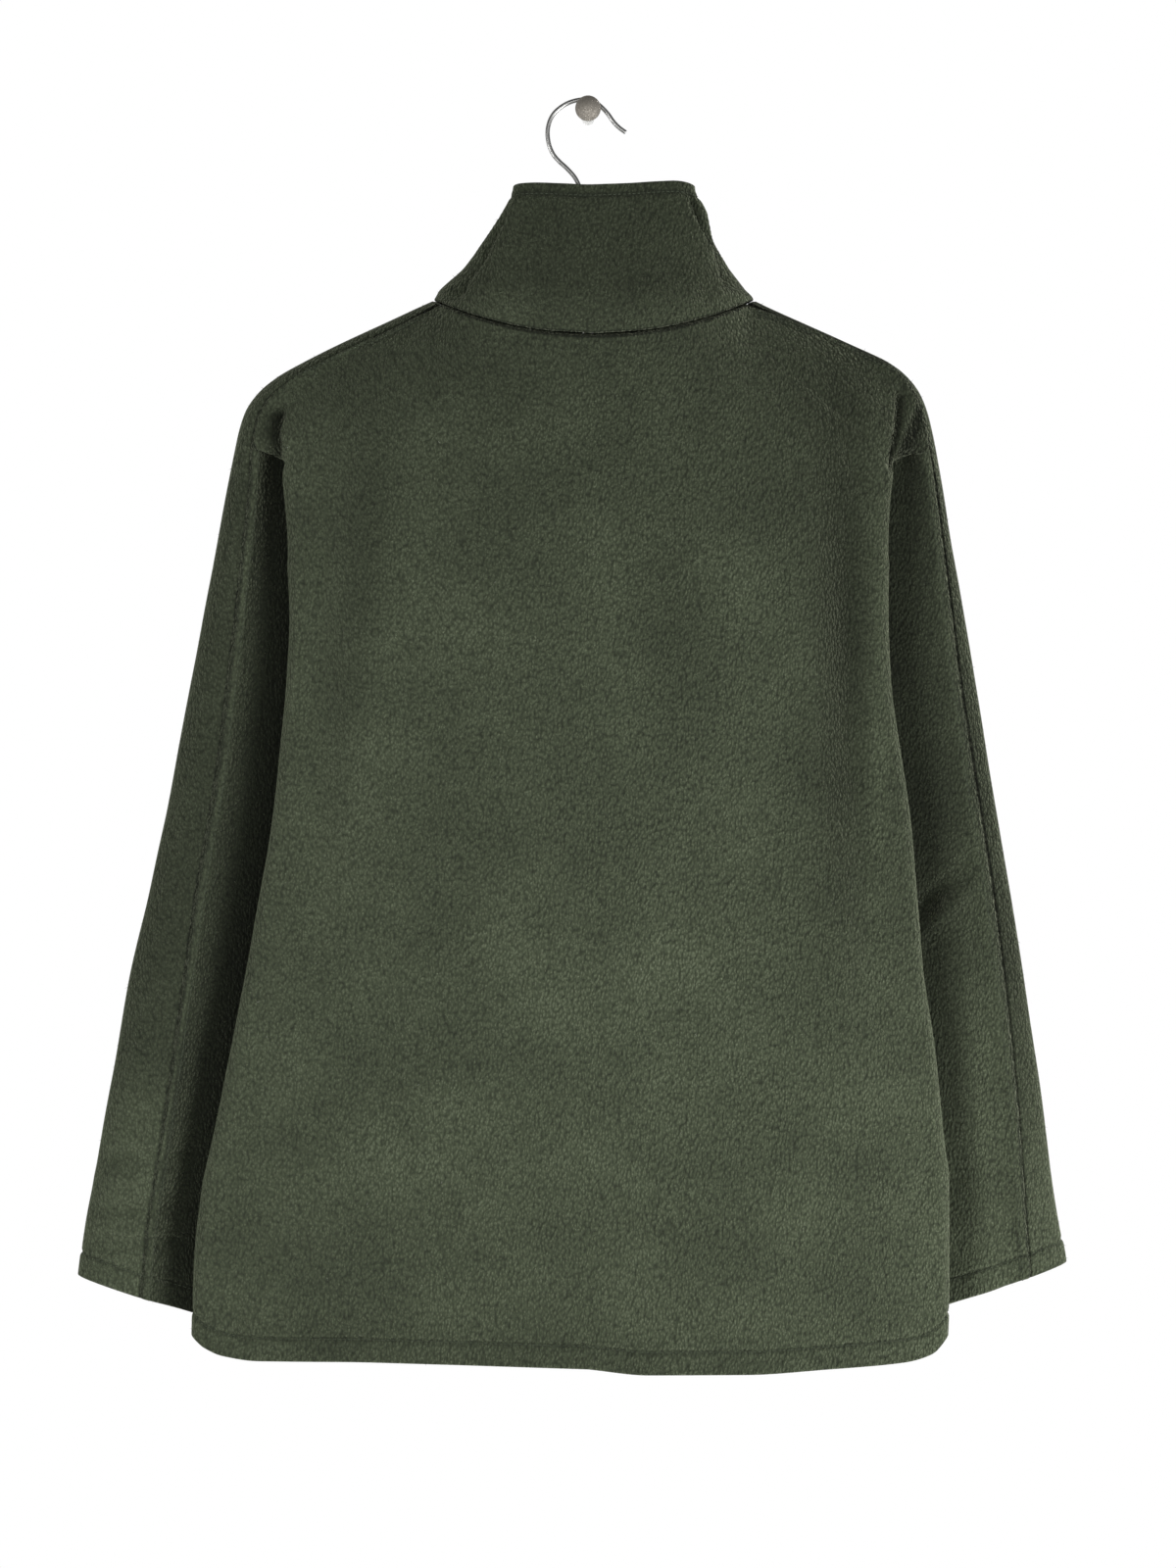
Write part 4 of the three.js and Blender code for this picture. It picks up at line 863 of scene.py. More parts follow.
def closed_wall(outer: Array, inner: Array, flipped: bool) -> tuple[Array, Faces]:
    """Joins a fine outer grid and an inner grid of every second point into a closed wall.

    Args:
        outer: outer points, with odd numbers of rows and columns.
        inner: inner points.
        flipped: whether the outward side is the far one.

    Returns:
        Vertices in millimetres and faces.
    """
    vertices = np.concatenate([outer.reshape(-1, 3), inner.reshape(-1, 3)])
    many = outer[..., 0].size
    at = np.arange(many).reshape(outer.shape[:2])
    under = many + np.arange(inner[..., 0].size).reshape(inner.shape[:2])
    faces = grid_faces(at, flipped) + grid_faces(under, not flipped)
    for fine, coarse, turned in ((at[:, 0], under[:, 0], flipped),
                                 (at[:, -1], under[:, -1], not flipped),
                                 (at[0], under[0], not flipped), (at[-1], under[-1], flipped)):
        faces.extend(rim_faces(fine, coarse, turned))
    return vertices, faces


def scene_object(name: str, data: bpy.types.ID) -> Item:
    """New object in the scene.

    Args:
        name: its name.
        data: its mesh, lamp or camera.

    Returns:
        The object, at the origin.
    """
    obj = bpy.data.objects.new(name, data)
    bpy.context.scene.collection.objects.link(obj)
    return obj


def make_mesh(name: str, vertices: Array, faces: Sequence[Sequence[int]]) -> Item:
    """Object of smooth faces.

    Args:
        name: the object's name.
        vertices: points in millimetres.
        faces: indices of each face's corners.

    Returns:
        The object, at the origin, in metres.
    """
    mesh = bpy.data.meshes.new(name)
    mesh.from_pydata((np.asarray(vertices) * METRES).tolist(), [], [tuple(f) for f in faces])
    mesh.update()
    mesh.shade_smooth()
    return scene_object(name, mesh)


def steps(*stretches: tuple[float, float, float]) -> Array:
    """Places along a length, closer where it matters, with an odd number of them.

    Args:
        stretches: (from, to, step) of each stretch in order.

    Returns:
        The places.
    """
    places = [stretches[0][0]]
    for start, end, step in stretches:
        count = max(1, round(abs(end - start) / step))
        places.extend(np.linspace(start, end, count + 1)[1:])
    if len(places) % 2 == 0:
        places.insert(-1, (places[-1] + places[-2]) / 2)
    return np.array(places)


def evened(path: Array, count: int, bend_weight: float, capped: bool) -> Array:
    """Spreads points along a path evenly by length plus a share for its bends.

    Args:
        path: dense points.
        count: steps wanted.
        bend_weight: millimetres that a bend of one radian counts for.
        capped: whether a bend counts only as far as the length beside it allows.

    Returns:
        The points.
    """
    step = np.diff(path, axis=0)
    length = np.linalg.norm(step, axis=1)
    way = unit(step)
    bend = np.append(np.arccos(np.clip((way[1:] * way[:-1]).sum(1), -1, 1)), 0)
    if capped:
        bend = np.minimum(bend, length / 2)
    measure = np.concatenate([[0], np.cumsum(length + bend * bend_weight)])
    targets = np.linspace(0, measure[-1], count + 1)
    return np.stack([np.interp(targets, measure, path[:, k]) for k in range(3)], -1)


@dataclass(frozen=True)
class Torso:
    """Back and fronts of the jacket."""

    columns: int = 106
    curve_weight: float = 14.0
    spread_points: int = 90
    roll_points: int = 41
    end_points: int = 21
    height: float = 643.0
    relaxed_above: float = -300.0
    relaxing: int = 60
    neck: Neck = NECK

    def top_edge(self, side: Side, face: Face, x: Array) -> dict[str, Array]:
        """Top edge of a panel: the neck ring, then the shoulder seam down to its tip.

        Args:
            side: the wearer's side.
            face: back or front.
            x: sideways places from x = 0.

        Returns:
            Arrays of the edge's z, depth, inset and arch there.
        """
        seam = self._shoulder(side, face)
        on_seam = x >= seam["x"][-1]
        found = {key: np.interp(x, seam["x"][::-1], seam[key][::-1])
                 for key in ("z", "depth", "inset", "arch")}
        reach = (x - side.value * self.neck.centre_x) / (self.neck.half_width + SEAM_GAP)
        turned = np.abs(np.degrees(np.arcsin(np.clip(reach, -1, 1))))
        turn = turned if face is Face.BACK else 180 - turned
        ring = self.neck.point(side, turn, SEAM_GAP)
        return {"z": np.where(on_seam, found["z"], ring[..., 2] - SEAM_GAP),
                "depth": np.where(on_seam, found["depth"], np.abs(ring[..., 1] - MIDDLE_Y)),
                "inset": np.where(on_seam, found["inset"], 0),
                "arch": np.where(on_seam, found["arch"], 0)}

    def _shoulder(self, side: Side, face: Face) -> dict[str, Array]:
        """The shoulder seam from its tip to the neck.

        Args:
            side: the wearer's side.
            face: back or front.

        Returns:
            Arrays by name.
        """
        seam = Shoulder(side).seam(face)
        from_tip = seam["share"] >= TIP_SHARE - 0.005
        return {key: value[from_tip] for key, value in seam.items()}

    def spread_depth(self, side: Side, face: Face, x: Array, z: Array) -> Array:
        """Depth of the spread cloth from the middle plane.

        Args:
            side: the wearer's side.
            face: back or front.
            x: sideways places from x = 0.
            z: heights.

        Returns:
            The depths.
        """
        fold = TORSO[side].read("fold", z)
        centre = DEPTH[face].read("centre", z)
        edge = DEPTH[face].read("edge", z)
        share = np.clip(np.abs(x) / fold, 0, 1)
        full = mix(centre, edge, share**2.2) - sunk(FOLDS[face], side.value * x, z)
        top = self.top_edge(side, face, x)
        below = np.maximum(0, top["z"] - z)
        arch = np.where(top["arch"] > 0, top["arch"], 1)
        ridge = ridge_depth(arch, top["inset"] + below * 0.9)
        start = np.where(top["arch"] > 0, ridge, top["depth"])
        return mix(start, full, 1 - np.exp(-below / 42))

    def _side_edge(self, side: Side, face: Face, z: float) -> tuple[float, float, float, float]:
        """Sideways distance, depth, curl and depth before the curl of the cloth's end.

        Args:
            side: the wearer's side.
            face: back or front.
            z: height.

        Returns:
            The four measures.
        """
        if z > JUNCTION_Z:
            seam = Shoulder(side).seam(face)
            return (float(np.interp(z, seam["z"], seam["x"])),
                    float(np.interp(z, seam["z"], seam["depth"])), 0.0, 0.0)
        if z < ARMPIT_Z:
            valley = float(TORSO[side].read("valley", z))
            return valley, SEAM_GAP / 2, FLAP_DEPTH, FLAP_DEPTH
        sleeve = Sleeve(side)
        at = sleeve.station(np.array(z))
        opened = float(armhole_opened(z))
        seam_x = float(at["outer"] - at["back_seam" if face is Face.BACK else "front_seam"])
        x = min(float(ARMHOLE[side].read("x", z)), seam_x - SEAM_GAP)
        depth = float(sleeve.depth(at, at["outer"] - x)) + SEAM_GAP + 0.5
        curl_depth = max(depth, mix(FLAP_DEPTH, SLEEVE_NOSE + 1.2, opened))
        return x - (1 - opened) * ARMPIT_DRAW, depth, mix(FLAP_DEPTH, 2, opened), curl_depth

    def _half_row(self, side: Side, face: Face, share: float, edge_z: float,
                  start: float, tip_x: float) -> Array:
        """Points of one half row, out to the fold and in to the cloth's end.

        Args:
            side: the wearer's side.
            face: back or front.
            share: share of the way up from the hem.
            edge_z: height at the fold.
            start: sideways distance where the row begins.
            tip_x: sideways distance of the shoulder's tip.

        Returns:
            Dense points along the row.
        """
        hem = HEM_LINE[side]

        def height(x: Array) -> Array:
            """Heights of the row at sideways distances."""
            bottom = hem.read("z", x)
            return mix(bottom, self.top_edge(side, face, np.minimum(x, tip_x))["z"], share)

        inset = 3 if face is Face.FRONT else 0
        fold = float(TORSO[side].read("fold", edge_z)) - inset
        near = np.array([fold - FLAP_DEPTH])
        beside = float(self.spread_depth(side, face, near, height(near))[0])
        low, high = OPEN_ROLL.key[0], OPEN_ROLL.key[1]
        opened = float(ease((edge_z - low) / (high - low)))
        roll = mix((beside - FLAP_DEPTH) / 2, float(OPEN_ROLL.read("roll", edge_z)), opened)
        end_x, end_depth, curl, curl_depth = self._side_edge(side, face, edge_z)
        main_end = fold - roll
        spread_x = np.linspace(start, main_end, self.spread_points)
        spread_y = self.spread_depth(side, face, spread_x, height(spread_x))
        centre_depth = spread_y[-1] - roll
        turns_in = end_x < main_end
        to_x, to_depth = (end_x + curl, curl_depth) if turns_in else (end_x, end_depth)
        away_x, away_depth = to_x - main_end, to_depth - centre_depth
        distance = math.hypot(away_x, away_depth)
        tangent = math.atan2(away_depth, away_x) + math.acos(min(max(roll / distance, -1), 1))
        wrap = min(max(math.pi / 2 - tangent, 0), math.pi * 1.05)
        angle = math.pi / 2 - wrap * np.linspace(0, 1, self.roll_points)[1:]
        arc_x = main_end + roll * np.cos(angle)
        arc_y = centre_depth + roll * np.sin(angle)
        line = np.linspace(0, 1, self.end_points)[1:]
        x = [spread_x, arc_x, mix(arc_x[-1], to_x, line)]
        depth = [spread_y, arc_y, mix(arc_y[-1], to_depth, line)]
        if turns_in:
            turn = math.pi / 2 * line
            x.append(to_x - (to_x - end_x) * np.sin(turn))
            depth.append(end_depth + (to_depth - end_depth) * np.cos(turn))
        path_x, path_depth = np.concatenate(x), np.concatenate(depth)
        path_z = height(np.maximum.accumulate(path_x))
        return np.stack([side.value * path_x, MIDDLE_Y + face.value * path_depth, path_z], -1)

    def half(self, side: Side, face: Face, start: float) -> Array:
        """Grid of one half of a panel, from the hem up.

        Args:
            side: the wearer's side.
            face: back or front.
            start: sideways distance where the half begins.

        Returns:
            Rows of points.
        """
        bottom = float(HEM_LINE[side].columns["z"][-1])
        tip = self._shoulder(side, face)
        tip_z, tip_x = float(tip["z"][0]), float(tip["x"][0])
        share = steps(*HEM_STEPS, (19, 567, 3.0), (567, self.height, 1.6)) / self.height
        heights = mix(bottom, tip_z, share)
        paths = [self._half_row(side, face, (z - bottom) / (tip_z - bottom), float(z), start,
                                tip_x) for z in heights]
        rows = [evened(path, self.columns, self.curve_weight, True) for path in paths]
        return self._relaxed(np.array(rows), heights)

    def _relaxed(self, rows: Array, heights: Array) -> Array:
        """Evens out the rows under the shoulder, with the edges held.

        Args:
            rows: points by row and column.
            heights: height of each row at the fold.

        Returns:
            The moved points.
        """
        weight = np.where(heights > self.relaxed_above, 1.0, 0.0)[:, None, None]
        for _ in range(self.relaxing):
            even = rows.copy()
            even[1:-1, 1:-1] = (rows[2:, 1:-1] + rows[:-2, 1:-1] + rows[1:-1, 2:]
                                + rows[1:-1, :-2]) / 4
            rows = mix(rows, even, weight * 0.5)
        return rows

    def back(self) -> Panel:
        """The back, hem to neck.

        Returns:
            The panel.
        """
        left = self.half(Side.LEFT, Face.BACK, 0)
        right = self.half(Side.RIGHT, Face.BACK, 0)
        grid = np.concatenate([left[:, :0:-1], right], axis=1)
        x, z = grid[..., 0], grid[..., 2]
        # Painted shade: the back darker towards its top and its right side, with bands of painted
        # shade and light along its troughs, ridges and hem.
        side_shade, side_end = RIGHT_SHADE
        shade = YOKE_SHADE.at(z) + side_shade.at(x) * side_end.at(z) + sunk(BACK_PAINTED_SHADE, x, z)
        return Panel("fleece_back", grid, True,
                     {"bottom": Edge.HEM, "top": Edge.STITCHED_SEAM, "start": Edge.PLAIN_SEAM,
                      "end": Edge.PLAIN_SEAM}, BACK_CREASES, seed=3,
                     plain_top=self.neck.half_width, shade=shade)

    def front(self, side: Side) -> Panel:
        """One front, hem to neck.

        Args:
            side: the wearer's side.

        Returns:
            The panel.
        """
        grid = self.half(side, Face.FRONT, ZIP_EDGE)
        name = f"fleece_front_{side.name.lower()}"
        return Panel(name, grid, side is Side.LEFT,
                     {"bottom": Edge.HEM, "top": Edge.STITCHED_SEAM, "start": Edge.ZIP,
                      "end": Edge.PLAIN_SEAM}, FRONT_CREASES, seed=5 + side.value,
                     plain_top=self.neck.half_width)


@dataclass(frozen=True)
class Sleeve:
    """Top and under half of one sleeve."""

    side: Side

    def station(self, z: Array) -> dict[str, Array]:
        """Sizes of the sleeve's level section at a height.

        Args:
            z: heights.

        Returns:
            Arrays by name.
        """
        table = SLEEVE[self.side]
        found = {name: table.read(name, z) for name in table.columns}
        armhole = ARMHOLE[self.side].read("x", z) - SLEEVE_NOSE * armhole_opened(z)
        found["nose"] = np.where(z > ARMPIT_Z, armhole, found["inner"])
        found["thin_at"] = TORSO[self.side].read("fold", z) + 2
        return found

    @staticmethod
    def depth(at: dict[str, Array], inset: Array) -> Array:
        """Half thickness of a section at a distance in from its outer edge.

        Args:
            at: the section's sizes.
            inset: distances in.

        Returns:
            The half thicknesses.
        """
        left = 1 - np.minimum(inset / at["arch"], 1)
        arched = at["half"] * np.sqrt(np.maximum(0, 1 - left**2))
        x = at["outer"] - inset
        thick = at["outer"] - at["arch"]
        share = ease((x - at["thin_at"]) / (thick - at["thin_at"]))
        body = mix(SLEEVE_NOSE, at["half"], share)
        to_nose = np.clip((x - at["nose"]) / SLEEVE_NOSE, 0, 1)
        flat = body * np.sqrt(1 - (1 - to_nose) ** 2)
        return np.where(inset < at["arch"], arched, flat)

    def cuff_z(self, x: Array) -> Array:
        """Bottom edge of the sleeve at a sideways distance."""
        outer_x, outer_z, slope = CUFF[self.side]
        return outer_z - slope * (outer_x - x)

    def _shares(self) -> Array:
        """Shares of the way up from the cuff, closer at the hem."""
        length = JUNCTION_Z - CUFF[self.side][1]
        return steps(*HEM_STEPS, (19, length, 3.1)) / length

    def top(self) -> Panel:
        """Outer half of the sleeve, which runs on over the shoulder to the neck.

        Returns:
            The panel.
        """
        place = np.linspace(-1, 1, 49)[None, :]
        face = np.where(place < 0, Face.FRONT.value, Face.BACK.value)
        share = self._shares()[:, None]
        z = mix(CUFF[self.side][1], JUNCTION_Z, share) + 0 * place
        for _ in range(4):
            at = self.station(z)
            seam = np.where(place < 0, at["front_seam"], at["back_seam"])
            inset = arch_inset(at["arch"], at["half"], seam, np.abs(place))
            x = at["outer"] - inset
            y = MIDDLE_Y + face * self.depth(at, inset)
            low = np.stack([self.side.value * x, y, z], -1)
            z = mix(self.cuff_z(x), JUNCTION_Z, share)
        along = steps((0, 1, 0.016))[1:]
        grid = np.concatenate([low, self._over_shoulder(along, place, face)])
        # Painted shade darkens the top sleeve towards its top, more on the right.
        return Panel(f"fleece_top_sleeve_{self.side.name.lower()}", grid, self.side is Side.LEFT,
                     {"bottom": Edge.HEM, "top": Edge.PLAIN_SEAM, "start": Edge.PLAIN_SEAM,
                      "end": Edge.PLAIN_SEAM}, SLEEVE_CREASES[self.side], seed=11,
                     shade=TOP_SHADE[self.side].at(grid[..., 2]))

    def _over_shoulder(self, along: Array, place: Array, face: Array) -> Array:
        """Rows of the top sleeve from the junction to the neck.

        Args:
            along: shares of the ridge's length, one a row.
            place: place of each column, from -1 at the front seam to 1 at the back seam.
            face: sign of each column's depth.

        Returns:
            The points by row and column.
        """
        at = Shoulder(self.side).station(along)
        sizes = {name: value[:, None] for name, value in at.items() if name != "inward"}
        seam = np.where(place < 0, sizes["front_seam"], sizes["back_seam"])
        inset = arch_inset(sizes["arch"], SHOULDER_HALF, seam, np.abs(place))
        depth = ridge_depth(sizes["arch"], inset)
        x = sizes["x"] + at["inward"][:, None, 0] * inset
        z = sizes["z"] + at["inward"][:, None, 1] * inset
        late = ease((along - 0.8) / 0.2)
        for j in range(place.shape[1]):
            side_face = Face(int(face[0, j]))
            end_x, end_z = NECK.at_depth(self.side, side_face, float(depth[-1, j]))
            x[:, j] += (self.side.value * end_x - x[-1, j]) * late
            z[:, j] += (end_z - z[-1, j]) * late
        return np.stack([self.side.value * x, MIDDLE_Y + face * depth, z], -1)

    def _armhole(self, face: Face, count: int) -> tuple[Array, Array]:
        """Heights and section shares along the armhole, from the junction to the armpit.

        Args:
            face: back or front.
            count: points wanted.

        Returns:
            The heights and the shares.
        """
        dense_z = np.linspace(JUNCTION_Z, ARMPIT_Z, 400)
        dense_x = ARMHOLE[self.side].read("x", dense_z)
        walked = np.concatenate([[0], np.cumsum(np.hypot(np.diff(dense_x), np.diff(dense_z)))])
        z = np.interp(np.linspace(0, walked[-1], count), walked, dense_z)
        x = np.interp(np.linspace(0, walked[-1], count), walked, dense_x)
        at = self.station(z)
        seam = at["outer"] - at["back_seam" if face is Face.BACK else "front_seam"]
        share = np.clip((seam - x) / (seam - at["inner"]), 0, 1)
        share[0], share[-1] = 0, 1
        return z, np.maximum.accumulate(share)

    def under(self) -> Panel:
        """Inner half of the sleeve, from the armhole to the cuff.

        Returns:
            The panel.
        """
        count = 54
        top_z, shares, faces = [], [], []
        for face in (Face.BACK, Face.FRONT):
            z, share = self._armhole(face, count)
            drop = -0.9 * (1 + bell(z, -232, 6))
            order = slice(None) if face is Face.BACK else slice(count - 2, None, -1)
            top_z.append((z - drop)[order])
            shares.append(share[order])
            faces.append(np.full(len(z[order]), face.value))
        top = np.concatenate(top_z)[None, :]
        along = np.concatenate(shares)[None, :]
        face_sign = np.concatenate(faces)[None, :]
        share = self._shares()[:, None]
        z = mix(CUFF[self.side][1], top, share)
        for _ in range(4):
            at = self.station(z)
            lower = 6 * ease((z + 256) / 14)
            at["nose"] = self.station(z - lower)["nose"]
            seam = np.where(face_sign < 0, at["back_seam"], at["front_seam"]) - TUCK
            inset = mix(seam, at["outer"] - at["inner"], along)
            x = at["outer"] - inset
            grid = np.stack([self.side.value * x,
                             MIDDLE_Y + face_sign * self.depth(at, inset), z], -1)
            z = mix(self.cuff_z(x), top, share)
        # Painted shade on the under sleeve beside the body, kept off the raised allowance beside
        # the seam.
        beside = np.maximum(x - TORSO[self.side].read("fold", z), 0)
        shade = ARM_SHADE[self.side].at(z, beside) * ease((inset - seam - TUCK - 3.6) / 4)
        return Panel(f"fleece_under_sleeve_{self.side.name.lower()}", grid,
                     self.side is Side.LEFT,
                     {"bottom": Edge.HEM, "top": Edge.PLAIN_SEAM, "start": Edge.STITCHED_SEAM,
                      "end": Edge.STITCHED_SEAM}, SLEEVE_CREASES[self.side], seed=17,
                     hollow=3.2, shade=shade)


@dataclass(frozen=True)
class Collar:
    """Tall stand collar, folded in at its sides."""

    top_x: float = 11
    back_top_z: float = -54
    side_top_z: float = -57
    front_top_z: float = -124
    front_top_depth: float = 21
    unfolded: float = 60
    lean: float = 1.4
    columns: int = 104
    curve_weight: float = 12.0
    height: float = 161.0
    threads: tuple[tuple[float, float, float, float], ...] = (
        (0, 0, 24, 0), (22, 26, 23, 0), (44, 46, 21, 0), (60, 55.5, 18, 0),
        (70, 58, 12.5, 0), (77, 53, 7.5, 0.5), (84, 40, 4.6, 1), (90, 31, 0, 1),
        (96, 40, -4.6, 1), (103, 55, -7.5, 0.5), (112, 61, -12.5, 0), (124, 57, -18, 0),
        (137, 48, -20.4, 0), (151, 33, -21, 0), (165, 17, -21, 0))
    creases: tuple[Crease | FoldLine, ...] = (
        FoldLine(((-52, -72), (-60, -88), (-68, -105), (-78, -118), (-84, -131)),
                 Side.LEFT, 5, 11, 0.6, 2.4),
        FoldLine(((66, -61), (71, -75), (75, -84), (83, -96), (86.5, -112), (90, -122)),
                 Side.RIGHT, 5.5, 8, 0.8, 3),
        Crease(78, -125, 5, 5, 0.3, 1.6), Crease(58, -100, 7, 18, 0.3, 0.8),
        Crease(-46, -112, 7, 22, 0.5, 0.7), Crease(6, -100, 34, 8, 0, 0.5))

    def _threads(self, side: Side, share: float) -> Array:
        """Points round one half of the collar at a share of its height.

        Args:
            side: the wearer's side.
            share: 0 at the neck seam and 1 at the top.

        Returns:
            The points, from the centre of the back to the zip.
        """
        turn, top_x, top_depth, folded = np.array(self.threads).T
        base = NECK.point(side, turn, 0)
        cosine = np.cos(np.radians(turn))
        top_z = np.where(turn < 90, mix(self.side_top_z, self.back_top_z, cosine),
                         mix(self.side_top_z, self.front_top_z, cosine**2))
        taken = 1 - (1 - share) ** self.lean
        open_x = self.top_x + side.value * self.unfolded
        end_x = self.top_x + side.value * top_x
        target = np.where(folded > 0, mix(open_x, end_x, ease(share * 1.15)), end_x)
        x = mix(base[:, 0], target, taken)
        depth = mix(MIDDLE_Y - base[:, 1], top_depth, taken)
        points = np.stack([x, MIDDLE_Y - depth, mix(base[:, 2], top_z, share)], -1)
        low_z = NECK.side_z - NECK.front_drop
        end = [side.value * ZIP_EDGE, MIDDLE_Y + mix(NECK.front_depth, self.front_top_depth, taken),
               mix(low_z, self.front_top_z, share)]
        return np.vstack([points, end])

    def _row(self, side: Side, share: float) -> Array:
        """Even points round one half of the collar."""
        dense = smooth_curve(self._threads(side, share), 400)
        return evened(dense, self.columns, self.curve_weight, False)

    def _shaped(self, grid: Array) -> Array:
        """Brings the sides and the top edge of the collar to their slumped outline.

        Args:
            grid: points by row and column.

        Returns:
            The moved points.
        """
        x, y, z = grid[..., 0], grid[..., 1], grid[..., 2]
        outer = ease((np.abs(x - self.top_x) - 18) / 30)
        shift = np.where(x < self.top_x, -COLLAR_SIDE[Side.LEFT].read("out", z),
                         COLLAR_SIDE[Side.RIGHT].read("out", z))
        rise = COLLAR_TOP.read("rise", x) * ease((z + 82) / 24) * ease((-50 - y) / 10)
        return np.stack([x + shift * outer, y, z + rise], -1)

    def panel(self) -> Panel:
        """The collar's outer face.

        Returns:
            The panel.
        """
        down = steps((0, 1.6, 0.4), (1.6, 6, 1.5), (6, 10, 0.6), (10, 156, 2.2),
                     (156, self.height, 1))
        shares = 1 - down[::-1] / self.height
        rows = [np.concatenate([self._row(Side.LEFT, s)[:0:-1], self._row(Side.RIGHT, s)])
                for s in shares]
        grid = self._shaped(np.array(rows))
        # Painted shade darkens the collar towards its top.
        return Panel("fleece_collar", grid, True,
                     {"bottom": Edge.PLAIN_SEAM, "top": Edge.TOP, "start": Edge.ZIP,
                      "end": Edge.ZIP}, self.creases, COLLAR_WALL, 23,
                     shade=COLLAR_SHADE.at(grid[..., 2]))


def smooth_curve(points: Array, count: int) -> Array:
    """Dense points along a centripetal curve through points.

    Args:
        points: points to pass through.
        count: points wanted.

    Returns:
        The dense points.
    """
    padded = np.vstack([2 * points[0] - points[1], points, 2 * points[-1] - points[-2]])
    gap = np.sqrt(np.maximum(np.linalg.norm(np.diff(padded, axis=0), axis=1), 1e-6))
    knot = np.concatenate([[0], np.cumsum(gap)])
    at = np.linspace(knot[1], knot[-2], count)
    i = np.clip(np.searchsorted(knot, at, side="right") - 1, 1, len(points) - 1)
    p0, p1, p2, p3 = (padded[i + k] for k in (-1, 0, 1, 2))
    t0, t1, t2, t3 = (knot[i + k][:, None] for k in (-1, 0, 1, 2))
    t = at[:, None]
    a1 = ((t1 - t) * p0 + (t - t0) * p1) / (t1 - t0)
    a2 = ((t2 - t) * p1 + (t - t1) * p2) / (t2 - t1)
    a3 = ((t3 - t) * p2 + (t - t2) * p3) / (t3 - t2)
    b1 = ((t2 - t) * a1 + (t - t0) * a2) / (t2 - t0)
    b2 = ((t3 - t) * a2 + (t - t1) * a3) / (t3 - t1)
    return ((t2 - t) * b1 + (t - t1) * b2) / (t2 - t1)


def linear(colour: str) -> tuple[float, float, float, float]:
    """Linear colour from an sRGB hex value.

    Args:
        colour: a hash and six hex digits.

    Returns:
        Red, green, blue and alpha.
    """
    parts = [int(colour[k:k + 2], 16) / 255 for k in (1, 3, 5)]
    turned = [p / 12.92 if p <= 0.04045 else ((p + 0.055) / 1.055) ** 2.4 for p in parts]
    return (*turned, 1.0)


def add(tree: Tree, kind: str, settings: dict[str, Any] | None = None,
        inputs: dict[Any, Any] | None = None,
        stops: Sequence[tuple[float, str]] = ()) -> bpy.types.Node:
    """Adds a node with its settings, values and links.

    Args:
        tree: the tree.
        kind: the node's type name.
        settings: attributes of the node by name.
        inputs: values or output sockets by input name or number.
        stops: place and sRGB colour of each stop, for a node with a ramp of colours.

    Returns:
        The node.
    """
    node = tree.nodes.new(kind)
    for name, value in (settings or {}).items():
        setattr(node, name, value)
    for name, value in (inputs or {}).items():
        if isinstance(value, Socket):
            tree.links.new(value, node.inputs[name])
        else:
            node.inputs[name].default_value = value
    for k, (place, colour) in enumerate(stops):
        elements = node.color_ramp.elements
        element = elements[k] if k < len(elements) else elements.new(place)
        element.position = place
        element.color = linear(colour)
    return node


@dataclass(frozen=True)
class Finish:
    """A finish whose node material is made once, on the object's own coordinates."""

    name: str

    def material(self) -> bpy.types.Material:
        """The node material, made on its first use.

        Returns:
            The material.
        """
        made = bpy.data.materials.get(self.name)
        if made:
            return made
        made = bpy.data.materials.new(self.name)
        made.use_nodes = True
        tree = made.node_tree
        tree.nodes.clear()
        where = add(tree, "ShaderNodeTexCoord").outputs["Object"]
        add(tree, "ShaderNodeOutputMaterial", inputs={"Surface": self.surface(tree, where)})
        return made

    def surface(self, tree: Tree, where: Socket) -> Socket:
        """The shader of a finish, which each kind of finish makes its own way."""
        raise NotImplementedError


